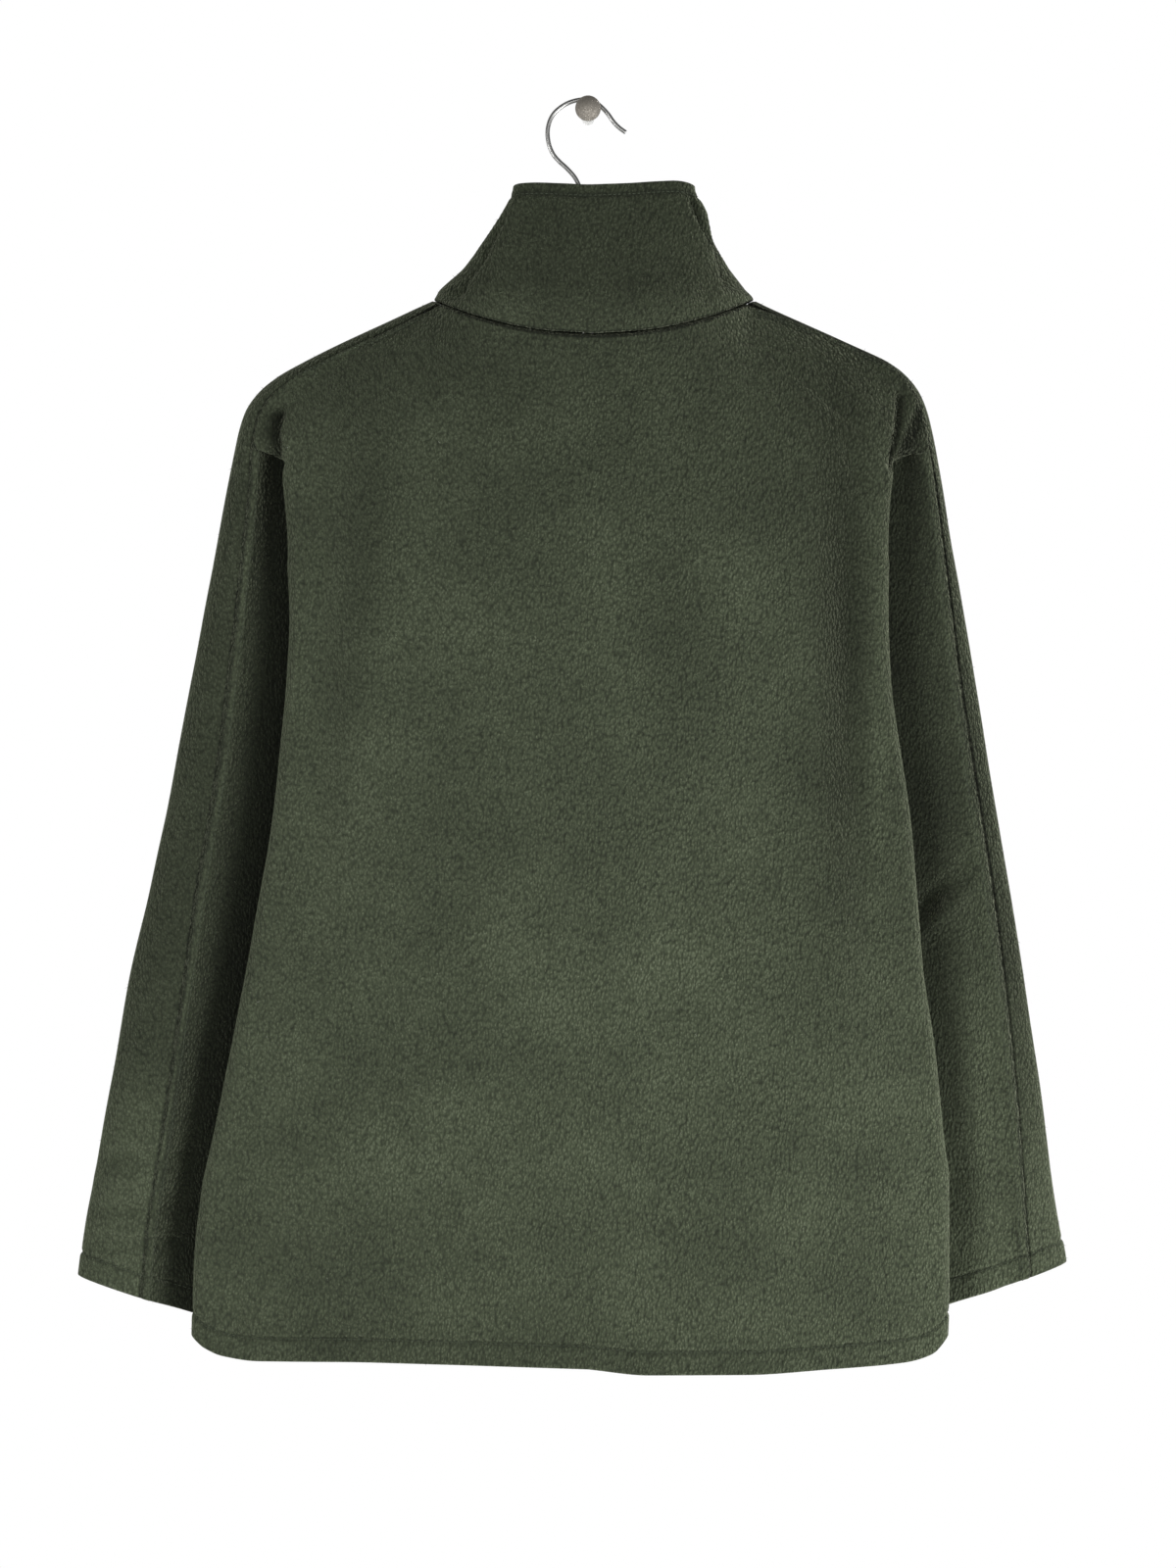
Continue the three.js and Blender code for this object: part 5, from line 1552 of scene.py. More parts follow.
@dataclass(frozen=True)
class Fleece(Finish):
    """Polar fleece: knitted polyester brushed into short curls that lie mostly downwards."""

    name: str = "polar_fleece"
    # Colours of the curls: recess and tip carry painted shade and painted highlight, body is the
    # fleece's own green.
    recess: str = "#2C3126"
    body: str = "#434A39"
    tip: str = "#5F6753"
    # Colour that the panels' painted shade darkens towards.
    shadow: str = "#4A4E44"
    sheen: str = "#C4CCAE"
    curl_width: float = 1.5
    curl_length: float = 2.7
    curl_height: float = 2.2
    bump: float = 1.0
    drifts_a_metre: float = 15.0
    drift: float = 0.66

    def surface(self, tree: Tree, where: Socket) -> Socket:
        """Mounds of curls coloured by their height, painted shade in the recesses and painted
        highlight on the tips, darkened where sewing presses the nap and by the panel's painted
        shade.

        Args:
            tree: the material's tree.
            where: the object coordinates.

        Returns:
            The shader.
        """
        grain = (1 / (self.curl_width * METRES), 1 / (self.curl_width * METRES),
                 1 / (self.curl_length * METRES))
        scaled = add(tree, "ShaderNodeMapping", inputs={"Vector": where, "Scale": grain})
        wander = add(tree, "ShaderNodeTexNoise", inputs={
            "Vector": scaled.outputs[0], "Scale": 0.7, "Detail": 2.0, "Roughness": 0.6})
        warped = add(tree, "ShaderNodeVectorMath", {"operation": "MULTIPLY_ADD"}, {
            0: wander.outputs["Color"], 1: (0.8, 0.8, 0.8), 2: scaled.outputs[0]})
        curl = add(tree, "ShaderNodeTexVoronoi", {"feature": "SMOOTH_F1"}, {
            "Vector": warped.outputs[0], "Scale": 1.0, "Smoothness": 0.45})
        fine = add(tree, "ShaderNodeTexNoise", inputs={
            "Vector": scaled.outputs[0], "Scale": 2.2, "Detail": 3.0, "Roughness": 0.6})
        lay = add(tree, "ShaderNodeTexNoise", inputs={
            "Vector": where, "Scale": self.drifts_a_metre, "Detail": 3.0, "Roughness": 0.5})
        mounds = add(tree, "ShaderNodeMath", {"operation": "MULTIPLY_ADD"}, {
            0: curl.outputs["Distance"], 1: -1.0, 2: 1.0})
        height = add(tree, "ShaderNodeMath", {"operation": "MULTIPLY_ADD"}, {
            0: fine.outputs["Fac"], 1: 0.45, 2: mounds.outputs[0]})
        pressed = add(tree, "ShaderNodeAttribute", {"attribute_name": "pressed"})
        shade = add(tree, "ShaderNodeMapRange", inputs={
            "Value": height.outputs[0], "From Min": 0.3, "From Max": 1.3})
        drift = add(tree, "ShaderNodeMath", {"operation": "MULTIPLY_ADD"}, {
            0: lay.outputs["Fac"], 1: self.drift, 2: -self.drift / 2})
        tone = add(tree, "ShaderNodeMath", {"operation": "ADD", "use_clamp": True}, {
            0: shade.outputs[0], 1: drift.outputs[0]})
        sunk_tone = add(tree, "ShaderNodeMath", {"operation": "MULTIPLY_ADD", "use_clamp": True}, {
            0: pressed.outputs["Fac"], 1: -0.8, 2: tone.outputs[0]})
        # The curls' height sets their colour, painted shade in the recesses and painted highlight
        # on the tips; the drift is the pile's own tone.
        colour = add(tree, "ShaderNodeValToRGB", inputs={"Fac": sunk_tone.outputs[0]},
                     stops=[(0.0, self.recess), (0.55, self.body), (1.0, self.tip)])
        # Painted shade from the panel's shaded attribute darkens the colour.
        shaded = add(tree, "ShaderNodeAttribute", {"attribute_name": "shaded"})
        painted_shade_colour = add(tree, "ShaderNodeValToRGB", inputs={"Fac": shaded.outputs["Fac"]},
                   stops=[(0.0, "#FFFFFF"), (1.0, self.shadow)])
        darkened = add(tree, "ShaderNodeVectorMath", {"operation": "MULTIPLY"}, {
            0: colour.outputs["Color"], 1: painted_shade_colour.outputs["Color"]})
        bump = add(tree, "ShaderNodeBump", inputs={
            "Height": height.outputs[0], "Strength": self.bump,
            "Distance": self.curl_height * METRES})
        shader = add(tree, "ShaderNodeBsdfPrincipled", inputs={
            "Base Color": darkened.outputs[0], "Roughness": 0.95, "Specular IOR Level": 0.15,
            "Sheen Weight": 0.4, "Sheen Roughness": 0.4,
            "Sheen Tint": linear(self.sheen), "Normal": bump.outputs[0]})
        return shader.outputs[0]


@dataclass(frozen=True)
class Metal(Finish):
    """Plated, turned or cast metal with faint unevenness of its polish."""

    colour: str
    rough: float
    grit: float = 0.4

    def surface(self, tree: Tree, where: Socket) -> Socket:
        """Metal whose roughness and height vary slightly over its surface.

        Args:
            tree: the material's tree.
            where: the object coordinates.

        Returns:
            The shader.
        """
        scratch = add(tree, "ShaderNodeTexNoise", inputs={
            "Vector": where, "Scale": 1 / (self.grit * METRES), "Detail": 3.0})
        rough = add(tree, "ShaderNodeMapRange", inputs={
            "Value": scratch.outputs["Fac"], "To Min": self.rough * 0.7,
            "To Max": self.rough * 1.4})
        bump = add(tree, "ShaderNodeBump", inputs={
            "Height": scratch.outputs["Fac"], "Strength": 0.1, "Distance": 0.00003})
        shader = add(tree, "ShaderNodeBsdfPrincipled", inputs={
            "Base Color": linear(self.colour), "Metallic": 1.0,
            "Roughness": rough.outputs[0], "Normal": bump.outputs[0]})
        return shader.outputs[0]


@dataclass(frozen=True)
class Plastic(Finish):
    """Moulded plastic, enamel, tape or thread with a fine grain."""

    colour: str
    rough: float
    grain: float = 0.8

    def surface(self, tree: Tree, where: Socket) -> Socket:
        """Plastic whose colour and height vary slightly with its grain.

        Args:
            tree: the material's tree.
            where: the object coordinates.

        Returns:
            The shader.
        """
        noise = add(tree, "ShaderNodeTexNoise", inputs={
            "Vector": where, "Scale": 1 / (self.grain * METRES), "Detail": 2.0})
        value = add(tree, "ShaderNodeMapRange", inputs={
            "Value": noise.outputs["Fac"], "To Min": 0.85, "To Max": 1.15})
        shift = add(tree, "ShaderNodeHueSaturation", inputs={
            "Color": linear(self.colour), "Value": value.outputs[0]})
        bump = add(tree, "ShaderNodeBump", inputs={
            "Height": noise.outputs["Fac"], "Strength": 0.2, "Distance": 0.0001})
        shader = add(tree, "ShaderNodeBsdfPrincipled", inputs={
            "Base Color": shift.outputs[0], "Roughness": self.rough,
            "Normal": bump.outputs[0]})
        return shader.outputs[0]


@dataclass(frozen=True)
class Matt(Finish):
    """Plain matt board."""

    colour: str
    rough: float = 0.9

    def surface(self, tree: Tree, where: Socket) -> Socket:
        """One even matt colour."""
        return add(tree, "ShaderNodeBsdfPrincipled", inputs={
            "Base Color": linear(self.colour), "Roughness": self.rough}).outputs[0]


@dataclass(frozen=True)
class LitPaper(Finish):
    """Evenly lit paper that shows only from its front, so that no view is shut out by it."""

    colour: str = "#FFFFFF"

    def surface(self, tree: Tree, where: Socket) -> Socket:
        """A white glow in front and nothing behind.

        Args:
            tree: the material's tree.
            where: the object coordinates.

        Returns:
            The shader.
        """
        glow = add(tree, "ShaderNodeEmission", inputs={
            "Color": linear(self.colour), "Strength": 1.0})
        clear = add(tree, "ShaderNodeBsdfTransparent")
        side = add(tree, "ShaderNodeNewGeometry")
        paper = add(tree, "ShaderNodeMixShader", inputs={
            0: side.outputs["Backfacing"], 1: glow.outputs[0], 2: clear.outputs[0]})
        return paper.outputs[0]


# Brushed polyester pile: a matt, pebbled dark green with soft light and dark drifts where the
# pile lies differently.  Its curls are drawn at 1.5 by 2.7 mm, coarser than true, to show.
# Its colour also carries painted shade in the curls' recesses, painted highlight on their tips, and
# the panels' painted shade.
FLEECE = Fleece()
# Plated wire: smooth grey with narrow soft highlights along it.  Its unevenness is drawn at
# 2 mm, coarser than true, because a finer one breaks up into dots on so thin a wire.
CHROME_WIRE = Metal("chrome_plated_wire", "#A2A2A0", 0.36, 2.0)
# Turned and satin-finished: an even warm grey disc with no sharp reflections.
TURNED_PIN = Metal("satin_turned_steel", "#A39E96", 0.8, 2.0)
# Sprayed enamel: near white, so that the shank fades into the white wall.
ENAMELLED_STEEL = Plastic("white_enamelled_steel", "#F4F4F2", 0.4, 2.0)
# Die-cast and tumbled: dull grey metal with soft broad highlights.
CAST_ZIP = Metal("cast_zinc_slider", "#8E8D88", 0.38)
# Injection moulded: near black with a soft satin shine.
HANGER_PLASTIC = Plastic("moulded_polypropylene", "#24261F", 0.5)
# Woven tape: dark green, matt and slightly grainy.
ZIP_TAPE = Plastic("woven_zip_tape", "#2A3026", 0.8, 0.5)
# Loose cotton ends: a few pale specks and short hairs on the dark cloth.
LINT = Plastic("white_cotton_lint", "#B9BDB0", 0.9, 0.5)
# Spun thread: a little darker and smoother than the fleece, in short even stitches.
THREAD = Plastic("spun_polyester_thread", "#3A4232", 0.75, 0.3)
# Moulded teeth: a close dark row with a faint shine.
TEETH = Plastic("moulded_acetal_teeth", "#2E342A", 0.42)
# Matt board under the jacket and white paper far behind it, as in a plain studio.
FLOOR_BOARD = Matt("pale_floor_board", "#E8E8E6")
WHITE_PAPER = LitPaper("white_paper")


@dataclass(frozen=True)
class Repeats:
    """Geometry Nodes that set one small closed shape along lines or over cloth."""

    body: str = GARMENT
    root_depth: float = 0.2

    def stitches(self, name: str, lines: Sequence[Array], finish: Finish, pitch: float,
                 length: float, width: float, slot: str) -> Item:
        """Closed beads along lines, as stitches or teeth.

        Args:
            name: the object's name.
            lines: points of each line in millimetres.
            finish: the beads' finish.
            pitch: distance between beads in millimetres.
            length: length of a bead.
            width: width of a bead.
            slot: the record's material slot.

        Returns:
            The object.
        """
        tree, given = self._tree(f"{name}_along_lines", ("Pitch", "Length", "Width"))
        curve = add(tree, "GeometryNodeMeshToCurve", inputs={"Mesh": given.outputs["Geometry"]})
        points = add(tree, "GeometryNodeCurveToPoints", {"mode": "LENGTH"}, {
            "Curve": curve.outputs[0], "Length": given.outputs["Pitch"]})
        turn = add(tree, "FunctionNodeAlignRotationToVector", {"axis": "Z"}, {
            "Vector": points.outputs["Tangent"]})
        bead = add(tree, "GeometryNodeMeshUVSphere", inputs={
            "Segments": 6, "Rings": 4, "Radius": 0.5})
        size = add(tree, "ShaderNodeCombineXYZ", inputs={
            "X": given.outputs["Width"], "Y": given.outputs["Width"],
            "Z": given.outputs["Length"]})
        placed = add(tree, "GeometryNodeInstanceOnPoints", inputs={
            "Points": points.outputs["Points"], "Instance": bead.outputs["Mesh"],
            "Rotation": turn.outputs[0], "Scale": size.outputs[0]})
        self._finish(tree, placed.outputs[0], finish.material())
        source = self._line_object(name, lines)
        sizes = {"Pitch": pitch * METRES, "Length": length * METRES, "Width": width * METRES}
        return self._converted(source, tree, name, sizes, slot)

    def nap(self, name: str, panel: Panel, finish: Finish, density: float,
            length: float, width: float) -> Item:
        """Loose fibre ends standing out of a panel's face.

        Args:
            name: the object's name.
            panel: the dressed panel.
            finish: the fibres' finish.
            density: fibres a square metre.
            length: length of a fibre in millimetres.
            width: width of its foot in millimetres.

        Returns:
            The object.
        """
        tree, given = self._tree(f"{name}_over_cloth", ("Density", "Length", "Width"), ("Seed",))
        points = add(tree, "GeometryNodeDistributePointsOnFaces", inputs={
            "Mesh": given.outputs["Geometry"], "Density": given.outputs["Density"],
            "Seed": given.outputs["Seed"]})
        stray = add(tree, "FunctionNodeRandomValue", {"data_type": "FLOAT_VECTOR"}, {
            0: (-0.95, -0.95, -1.3), 1: (0.95, 0.95, 0.6), "Seed": given.outputs["Seed"]})
        aim = add(tree, "ShaderNodeVectorMath", {"operation": "ADD"}, {
            0: points.outputs["Normal"], 1: stray.outputs[0]})
        turn = add(tree, "FunctionNodeAlignRotationToVector", {"axis": "Z"}, {
            "Vector": aim.outputs[0]})
        fibre = add(tree, "GeometryNodeMeshCone", inputs={
            "Vertices": 3, "Side Segments": 1, "Fill Segments": 1, "Radius Top": 0.0,
            "Radius Bottom": given.outputs["Width"], "Depth": given.outputs["Length"]})
        size = add(tree, "FunctionNodeRandomValue", {"data_type": "FLOAT"}, {
            2: 0.45, 3: 1.0, "Seed": given.outputs["Seed"]})
        placed = add(tree, "GeometryNodeInstanceOnPoints", inputs={
            "Points": points.outputs["Points"], "Instance": fibre.outputs["Mesh"],
            "Rotation": turn.outputs[0], "Scale": size.outputs[1]})
        self._finish(tree, placed.outputs[0], finish.material())
        ids = np.arange(panel.grid[..., 0].size).reshape(panel.grid.shape[:2])
        rooted = panel.grid - panel.normals() * self.root_depth
        source = make_mesh(name + "_source", rooted.reshape(-1, 3),
                           grid_faces(ids, panel.flipped))
        sizes = {"Density": density, "Length": length * METRES, "Width": width * METRES,
                 "Seed": panel.seed}
        return self._converted(source, tree, name, sizes, "fleece")

    @staticmethod
    def _tree(name: str, sizes: Sequence[str],
              whole: Sequence[str] = ()) -> tuple[Tree, bpy.types.Node]:
        """Starts a tree that takes geometry and named sizes.

        Args:
            name: the tree's name.
            sizes: names of its sizes.
            whole: names of its whole numbers.

        Returns:
            The tree and the node of its inputs.
        """
        tree = bpy.data.node_groups.new(name, "GeometryNodeTree")
        kinds = [("Geometry", "Geometry"), *((label, "Float") for label in sizes),
                 *((label, "Int") for label in whole)]
        for label, kind in kinds:
            tree.interface.new_socket(label, in_out="INPUT", socket_type=f"NodeSocket{kind}")
        tree.interface.new_socket("Geometry", in_out="OUTPUT", socket_type="NodeSocketGeometry")
        return tree, add(tree, "NodeGroupInput")

    @staticmethod
    def _finish(tree: Tree, geometry: Socket, material: bpy.types.Material) -> None:
        """Ends a tree in real meshes with their material.

        Args:
            tree: the tree.
            geometry: the placed shapes.
            material: their material.
        """
        real = add(tree, "GeometryNodeRealizeInstances", inputs={"Geometry": geometry})
        smooth = add(tree, "GeometryNodeSetShadeSmooth", inputs={"Geometry": real.outputs[0]})
        painted = add(tree, "GeometryNodeSetMaterial", inputs={
            "Geometry": smooth.outputs[0], "Material": material})
        add(tree, "NodeGroupOutput", inputs={0: painted.outputs[0]})

    @staticmethod
    def _line_object(name: str, lines: Sequence[Array]) -> Item:
        """Loose edges along lines.

        Args:
            name: name of the piece that they are for.
            lines: points in millimetres.

        Returns:
            The object.
        """
        vertices: list[list[float]] = []
        edges: list[tuple[int, int]] = []
        for line in lines:
            first = len(vertices)
            vertices.extend((line * METRES).tolist())
            edges.extend((k, k + 1) for k in range(first, len(vertices) - 1))
        mesh = bpy.data.meshes.new(name + "_source")
        mesh.from_pydata(vertices, edges, [])
        return scene_object(name + "_source", mesh)

    def _converted(self, source: Item, tree: Tree, name: str,
                   sizes: dict[str, float], slot: str) -> Item:
        """Runs a tree on a source and keeps its result as a plain mesh.

        Args:
            source: the object that it runs on, which is removed.
            tree: the tree.
            name: name of the piece.
            sizes: values of the tree's inputs by name.
            slot: the record's material slot.

        Returns:
            The finished piece.
        """
        modifier = source.modifiers.new(name, "NODES")
        modifier.node_group = tree
        for item in tree.interface.items_tree:
            if item.in_out == "INPUT" and item.name in sizes:
                modifier[item.identifier] = sizes[item.name]
        source.update_tag()
        graph = bpy.context.evaluated_depsgraph_get()
        mesh = bpy.data.meshes.new_from_object(source.evaluated_get(graph))
        mesh.name = name
        source.modifiers.remove(modifier)
        bpy.data.objects.remove(source)
        return settle(scene_object(name, mesh), slot, self.body)


def settle(obj: Item, slot: str, body: str, *nodes: str, finish: Finish | None = None) -> Item:
    """Gives a finished piece its finish and body, and hides the CAD nodes that it stands for.

    Args:
        obj: the piece.
        slot: the record's material slot; not used.
        body: the body that it rides on.
        nodes: CAD nodes that it stands for.
        finish: its finish, where it has none yet.

    Returns:
        The piece.
    """
    if finish:
        obj.data.materials.append(finish.material())
    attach(obj, body)
    if nodes:
        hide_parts(*nodes)
    log.info("%s: %d faces", obj.name, len(obj.data.polygons))
    return obj


def ring_angles(count: int) -> Array:
    """Angles of a ring's points."""
    return np.linspace(0, 2 * math.pi, count + 1)[:-1]


def loft(rings: Sequence[Array]) -> tuple[Array, Faces]:
    """Closed skin through rings of the same number of points, fanned shut at both ends.

    Args:
        rings: points of each ring in order.

    Returns:
        Vertices and faces.
    """
    sides = len(rings[0])
    vertices = np.concatenate([*rings, [np.mean(rings[0], 0)], [np.mean(rings[-1], 0)]])
    start, end = len(vertices) - 2, len(vertices) - 1
    last = (len(rings) - 1) * sides
    faces: Faces = []
    for i in range(len(rings) - 1):
        for j in range(sides):
            a, b = i * sides + j, i * sides + (j + 1) % sides
            faces.append((a, b, b + sides, a + sides))
    for j in range(sides):
        after = (j + 1) % sides
        faces.append((start, after, j))
        faces.append((end, last + j, last + after))
    return vertices, faces


@dataclass(frozen=True)
class Hold:
    """Hanger, wire hook and wall pin that the jacket hangs from."""

    wire: float = 1.5
    plate_radius: float = 4.2
    droop: float = 1.7
    shank_radius: float = 2
    head_radius: float = 8.5
    hook_path: tuple[tuple[float, float], ...] = (
        (0, -96.4), (-2.2, -74), (-4.4, -57), (-8.4, -47.4), (-14.3, -40.6), (-19, -36.3),
        (-22.7, -32), (-25.2, -27), (-26.6, -21), (-26.7, -15), (-25.2, -9), (-22.4, -4.2),
        (-18.2, -0.4), (-13, 2.6), (-7, 4.4), (0, 4.9), (5, 3), (9.4, -0.6), (13.4, -5),
        (16.8, -9.8), (20.4, -13.6), (25, -17))
    half_depth: float = 6
    half_height: float = 6.5
    centre_z: float = -97
    reach: float = 190
    below_neck: float = 5
    below_ridge: float = 3
    past_neck: float = 12
    crown: float = 24

    def hook(self) -> Item:
        """The bent wire.

        Returns:
            The object.
        """
        points = np.array([(x, MIDDLE_Y, z) for x, z in self.hook_path])
        line = smooth_curve(points, 150)
        along = unit(np.gradient(line, axis=0))
        across = np.array([0.0, 1.0, 0.0])
        square = unit(np.cross(along, across))
        angles = ring_angles(20)
        rings = [c + self.wire * (np.cos(angles)[:, None] * across + np.sin(angles)[:, None] * s)
                 for c, s in zip(line, square)]
        return settle(make_mesh("wire_hook", *loft(rings)), "hook_wire", GARMENT, "hook",
                      finish=CHROME_WIRE)

    def pin(self) -> Item:
        """The turned pin with its plate on the wall and its round head.

        Returns:
            The head.
        """
        back = MIDDLE_Y - self.wire - 1
        head = self.head_radius
        plate, shank_wide = self.plate_radius, self.shank_radius
        profile = [(0, plate), (-0.9, plate), (-1.2, plate - 0.4), (-1.6, shank_wide + 0.5),
                   (-2.4, shank_wide), (back + 0.6, shank_wide), (back, shank_wide + 0.3),
                   (back - 0.3, head - 1), (back - 0.8, head - 0.3), (back - 1.8, head),
                   (back - 3.2, head - 0.1), (back - 4.6, head - 0.9), (back - 5.8, head - 2.1),
                   (back - 6.8, head - 3.7), (back - 7.6, head - 5.4), (back - 8.1, 1.4)]
        angles = ring_angles(48)
        rings = [np.stack([r * np.cos(angles), np.full(48, y),
                           r * np.sin(angles) + self.droop * y / -back], -1)
                 for y, r in profile]
        shank_end = profile.index((back + 0.6, shank_wide))
        settle(make_mesh("pin_shank", *loft(rings[:shank_end + 1])), "pin_metal", GARMENT,
               finish=ENAMELLED_STEEL)
        return settle(make_mesh("turned_pin", *loft(rings[shank_end:])), "pin_metal", GARMENT,
                      "wall_pin", finish=TURNED_PIN)

    def _hanger_top(self, side: Side, x: float) -> float:
        """Height of the hanger's top line at a sideways distance.

        Args:
            side: the wearer's side.
            x: the distance.

        Returns:
            The height.
        """
        ridge = SHOULDER[side].columns
        order = np.argsort(ridge["x"])
        rows = Table("x z", list(zip(ridge["x"][order], ridge["z"][order])))
        neck_x = float(rows.key[0]) + self.past_neck
        if x > neck_x:
            along = float(ease((x - neck_x) / 30))
            return float(rows.read("z", x)) - mix(self.below_neck, self.below_ridge, along)
        edge = float(rows.read("z", neck_x)) - self.below_neck
        soft = math.hypot(x, self.crown) - self.crown
        return mix(self.centre_z, edge, soft / (math.hypot(neck_x, self.crown) - self.crown))

    def hanger(self) -> Item:
        """The moulded hanger inside the shoulders.

        Returns:
            The object.
        """
        angles = ring_angles(24)
        rings = []
        for turn in np.linspace(-math.pi / 2, math.pi / 2, 90):
            place = math.sin(turn)
            side = Side.LEFT if place < 0 else Side.RIGHT
            end = math.sqrt(min(max((1 - abs(place)) / 0.05, 0.03), 1))
            top = self._hanger_top(side, abs(place) * self.reach)
            middle = top - self.half_height
            rings.append(np.stack([np.full(24, place * self.reach),
                                   MIDDLE_Y + self.half_depth * end * np.cos(angles),
                                   middle + self.half_height * end * np.sin(angles)], -1))
        return settle(make_mesh("moulded_hanger", *loft(rings)), "hanger", GARMENT, "hanger",
                      finish=HANGER_PLASTIC)


@dataclass(frozen=True)
class Zip:
    """Closed zip on the hidden front, with its slider and pull tab."""

    half_width: float = 3.0
    tooth_pitch: float = 2.6
    tooth_length: float = 1.5
    tooth_width: float = 4.2
    bottom_z: float = -831
    thickness: float = 1.4
    sunk: float = 0.4
    rounding: float = 0.25
    torso: Torso = field(default_factory=Torso)
    collar: Collar = field(default_factory=Collar)

    def line(self) -> Array:
        """Points up the middle of the zip, on its face.

        Returns:
            The points.
        """
        low_z = NECK.side_z - NECK.front_drop
        z = np.linspace(self.bottom_z, low_z, 60)
        depth = self.torso.spread_depth(Side.RIGHT, Face.FRONT, 0 * z, z)
        share = np.linspace(0, 1, 16)[1:]
        up_z = mix(low_z, self.collar.front_top_z, share)
        up = mix(NECK.front_depth, self.collar.front_top_depth,
                 1 - (1 - share) ** self.collar.lean)
        heights, depths = np.concatenate([z, up_z]), np.concatenate([depth, up])
        return np.stack([0 * heights, MIDDLE_Y + depths - self.sunk, heights], -1)

    def build(self) -> list[Item]:
        """The tape and its teeth.

        Returns:
            The two objects.
        """
        line = self.line()
        half, thick = self.half_width, self.thickness
        corners = np.array([(-half, 0, 0), (half, 0, 0), (half, -thick, 0), (-half, -thick, 0)])
        tape = make_mesh("zip_tape", *loft([point + corners for point in line]))
        flip_inside_out(tape)
        settle(tape, "zip_tape", GARMENT, "zip", finish=ZIP_TAPE)
        teeth = Repeats().stitches(
            "zip_teeth", [line + (0, 0.25, 0)], TEETH, self.tooth_pitch, self.tooth_length,
            self.tooth_width, "zip_tape")
        return [tape, teeth]

    def hardware(self) -> None:
        """Slider and pull tab, as rounded copies of their solids."""
        for node, name, body in (("slider", "zip_slider", GARMENT),
                                 ("pull_tab", "zip_pull_tab", "pull_tab")):
            settle(rounded_copy(node, name, self.rounding), "zip_metal", body, node,
                   finish=CAST_ZIP)


def flip_inside_out(obj: Item) -> None:
    """Turns a closed skin's faces outwards if they point in.

    Args:
        obj: the object.
    """
    mesh = obj.data
    volume = 0.0
    mesh.calc_loop_triangles()
    for triangle in mesh.loop_triangles:
        a, b, c = (mesh.vertices[k].co for k in triangle.vertices)
        volume += a.dot(b.cross(c))
    if volume < 0:
        mesh.flip_normals()


def rounded_copy(node: str, name: str, radius: float) -> Item:
    """Copy of a CAD node with its edges rounded.

    Args:
        node: the node's name.
        name: name of the copy.
        radius: radius of the rounding in millimetres.

    Returns:
        The copy, with its material slots empty.
    """
    work = bmesh.new()
    work.from_mesh(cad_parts[node].data)
    bmesh.ops.remove_doubles(work, verts=work.verts, dist=1e-6)
    bmesh.ops.dissolve_limit(work, angle_limit=math.radians(3), verts=work.verts,
                             edges=work.edges)
    mesh = bpy.data.meshes.new(name)
    work.to_mesh(mesh)
    work.free()
    obj = scene_object(name, mesh)
    bevel = obj.modifiers.new("rounded edges", "BEVEL")
    bevel.width = radius * METRES
    bevel.segments = 3
    bevel.limit_method = "ANGLE"
    graph = bpy.context.evaluated_depsgraph_get()
    finished = bpy.data.meshes.new_from_object(obj.evaluated_get(graph))
    obj.modifiers.remove(bevel)
    obj.data = finished
    finished.name = name
    finished.materials.clear()
    finished.shade_smooth()
    return obj


@dataclass(frozen=True)
class SoftLight:
    """A square soft light that is aimed at the middle of the jacket."""

    name: str
    place: tuple[float, float, float]
    size: float
    power: float


@dataclass(frozen=True)
class Studio:
    """White backdrop, pale floor, soft lights and the camera at the photograph's place."""

    distance: float = 2550
    frame_height: float = 1040
    centre_z: float = -449.15
    sensor: float = 36
    half_width: float = 3000
    backdrop_y: float = 900
    floor_z: float = -1350
    glow: float = 0.08
    lights: tuple[SoftLight, ...] = (
        SoftLight("key", (-1500, -1100, -500), 600, 16.0),
        SoftLight("card", (250, -3000, -800), 2600, 41.0),
        SoftLight("low", (1300, -1100, -1300), 600, 60.0))

    def stage(self) -> None:
        """Floor and backdrop, which aren't part of the object."""
        wide, far, low = self.half_width, self.backdrop_y, self.floor_z
        corners = {
            "backdrop": [(-wide, far, -wide), (wide, far, -wide), (wide, far, wide),
                         (-wide, far, wide)],
            "floor": [(-wide, -wide, low), (wide, -wide, low), (wide, far, low),
                      (-wide, far, low)]}
        made = [make_mesh(name, np.array(points), [(0, 1, 2, 3)])
                for name, points in corners.items()]
        for obj, finish in zip(made, (WHITE_PAPER, FLOOR_BOARD)):
            obj.data.materials.append(finish.material())

    def light(self) -> None:
        """Large soft lights and a low even glow."""
        world = bpy.data.worlds.new("studio")
        bpy.context.scene.world = world
        world.use_nodes = True
        back = world.node_tree.nodes["Background"]
        back.inputs["Color"].default_value = linear("#FFFFFF")
        back.inputs["Strength"].default_value = self.glow
        for light in self.lights:
            lamp = bpy.data.lights.new(light.name, "AREA")
            lamp.size = light.size * METRES
            lamp.energy = light.power
            obj = scene_object(light.name, lamp)
            obj.location = Vector(light.place) * METRES
            aim = Vector((0, MIDDLE_Y, self.centre_z)) * METRES - obj.location
            obj.rotation_euler = aim.to_track_quat("-Z", "Y").to_euler()

    def camera(self) -> None:
        """The camera, level, straight in front of the jacket's back."""
        data = bpy.data.cameras.new("camera")
        data.sensor_width = self.sensor
        data.lens = self.sensor * self.distance / self.frame_height
        obj = scene_object("camera", data)
        obj.location = Vector((0, MIDDLE_Y - self.distance, self.centre_z)) * METRES
        obj.rotation_euler = (math.pi / 2, 0, 0)
        bpy.context.scene.camera = obj
        view = bpy.context.scene.view_settings
        view.view_transform = "Standard"
        view.look = "None"


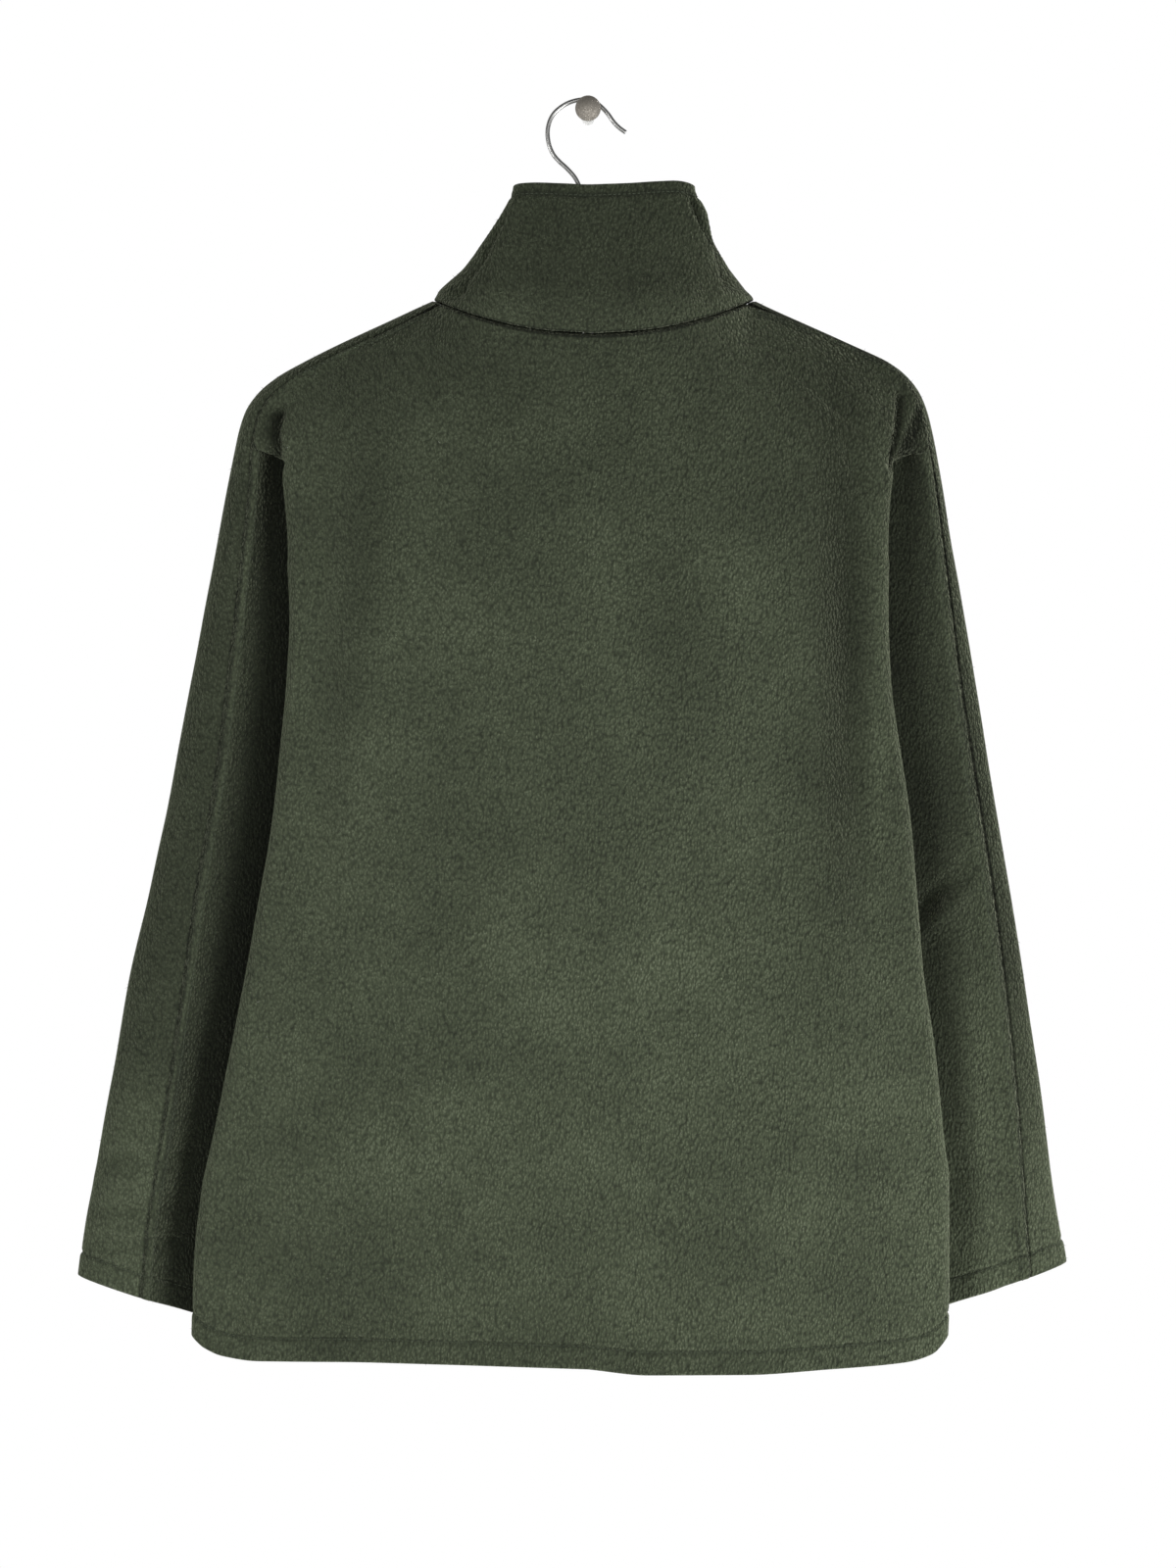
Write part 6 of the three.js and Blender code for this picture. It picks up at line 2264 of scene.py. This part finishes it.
@dataclass(frozen=True)
class Jacket:
    """All the cloth of the jacket with its sewing and nap."""

    fibres: float = 9000
    fibre_size: tuple[float, float] = (2.6, 0.2)
    lint: float = 160
    lint_size: tuple[float, float] = (4.5, 0.14)
    stitch_pitch: float = 3.2
    stitch_length: float = 2.3
    thread_width: float = 0.55
    stitch_lift: float = -0.05

    def panels(self) -> dict[str, Panel]:
        """Every cut panel by the CAD node that it stands for.

        Returns:
            The panels.
        """
        torso = Torso()
        left, right = Sleeve(Side.LEFT), Sleeve(Side.RIGHT)
        return {
            "back": torso.back(), "front_left": torso.front(Side.LEFT),
            "front_right": torso.front(Side.RIGHT), "top_sleeve_left": left.top(),
            "top_sleeve_right": right.top(), "under_sleeve_left": left.under(),
            "under_sleeve_right": right.under(), "collar": Collar().panel()}

    def build(self) -> None:
        panels = self.panels()
        pieces = {}
        for node, panel in panels.items():
            cut = panel.cut()
            pieces[node] = (settle(panel.build(), "fleece", GARMENT, node, finish=FLEECE), cut)
        sewing = self._sewing(panels)
        for node, (obj, (width, length, area)) in pieces.items():
            log.info("%s cut: %.3f x %.3f m, %.4f m2", obj.name, width, length, area)
        for node, panel in panels.items():
            Repeats().nap(f"nap_{node}", panel, FLEECE, self.fibres, *self.fibre_size)
        Repeats().nap("lint_back", panels["back"], LINT, self.lint, *self.lint_size)

    def _sewing(self, panels: dict[str, Panel]) -> dict[str, list[Item]]:
        """Rows of stitches by the panel that they go with.

        Args:
            panels: the dressed panels by CAD node.

        Returns:
            The objects of each panel's stitches.
        """
        body = [("bottom", HEM_DEPTH), ("top", STITCHED)]
        under = [("bottom", HEM_DEPTH), ("start", STITCHED), ("end", STITCHED)]
        rows = {"back": body, "front_left": body, "front_right": body,
                "top_sleeve_left": body[:1], "top_sleeve_right": body[:1],
                "under_sleeve_left": under, "under_sleeve_right": under,
                "collar": [("top", COLLAR_STITCH)]}
        sewn: dict[str, list[Item]] = {}
        for node, wanted in rows.items():
            runs = [run for edge, far in wanted
                    for run in panels[node].lines(edge, far, self.stitch_lift)]
            sewn[node] = [Repeats().stitches(f"stitches_{node}", runs, THREAD, self.stitch_pitch,
                                             self.stitch_length, self.thread_width, "fleece")]
        return sewn


def main() -> None:
    """Builds the pieces in order."""
    logging.basicConfig(level=logging.INFO, format="%(message)s")
    studio = Studio()
    studio.camera()
    studio.stage()
    studio.light()
    Jacket().build()
    zip_front = Zip()
    zip_front.build()
    zip_front.hardware()
    hold = Hold()
    hold.hanger()
    hold.hook()
    hold.pin()


if __name__ == "__main__":
    main()
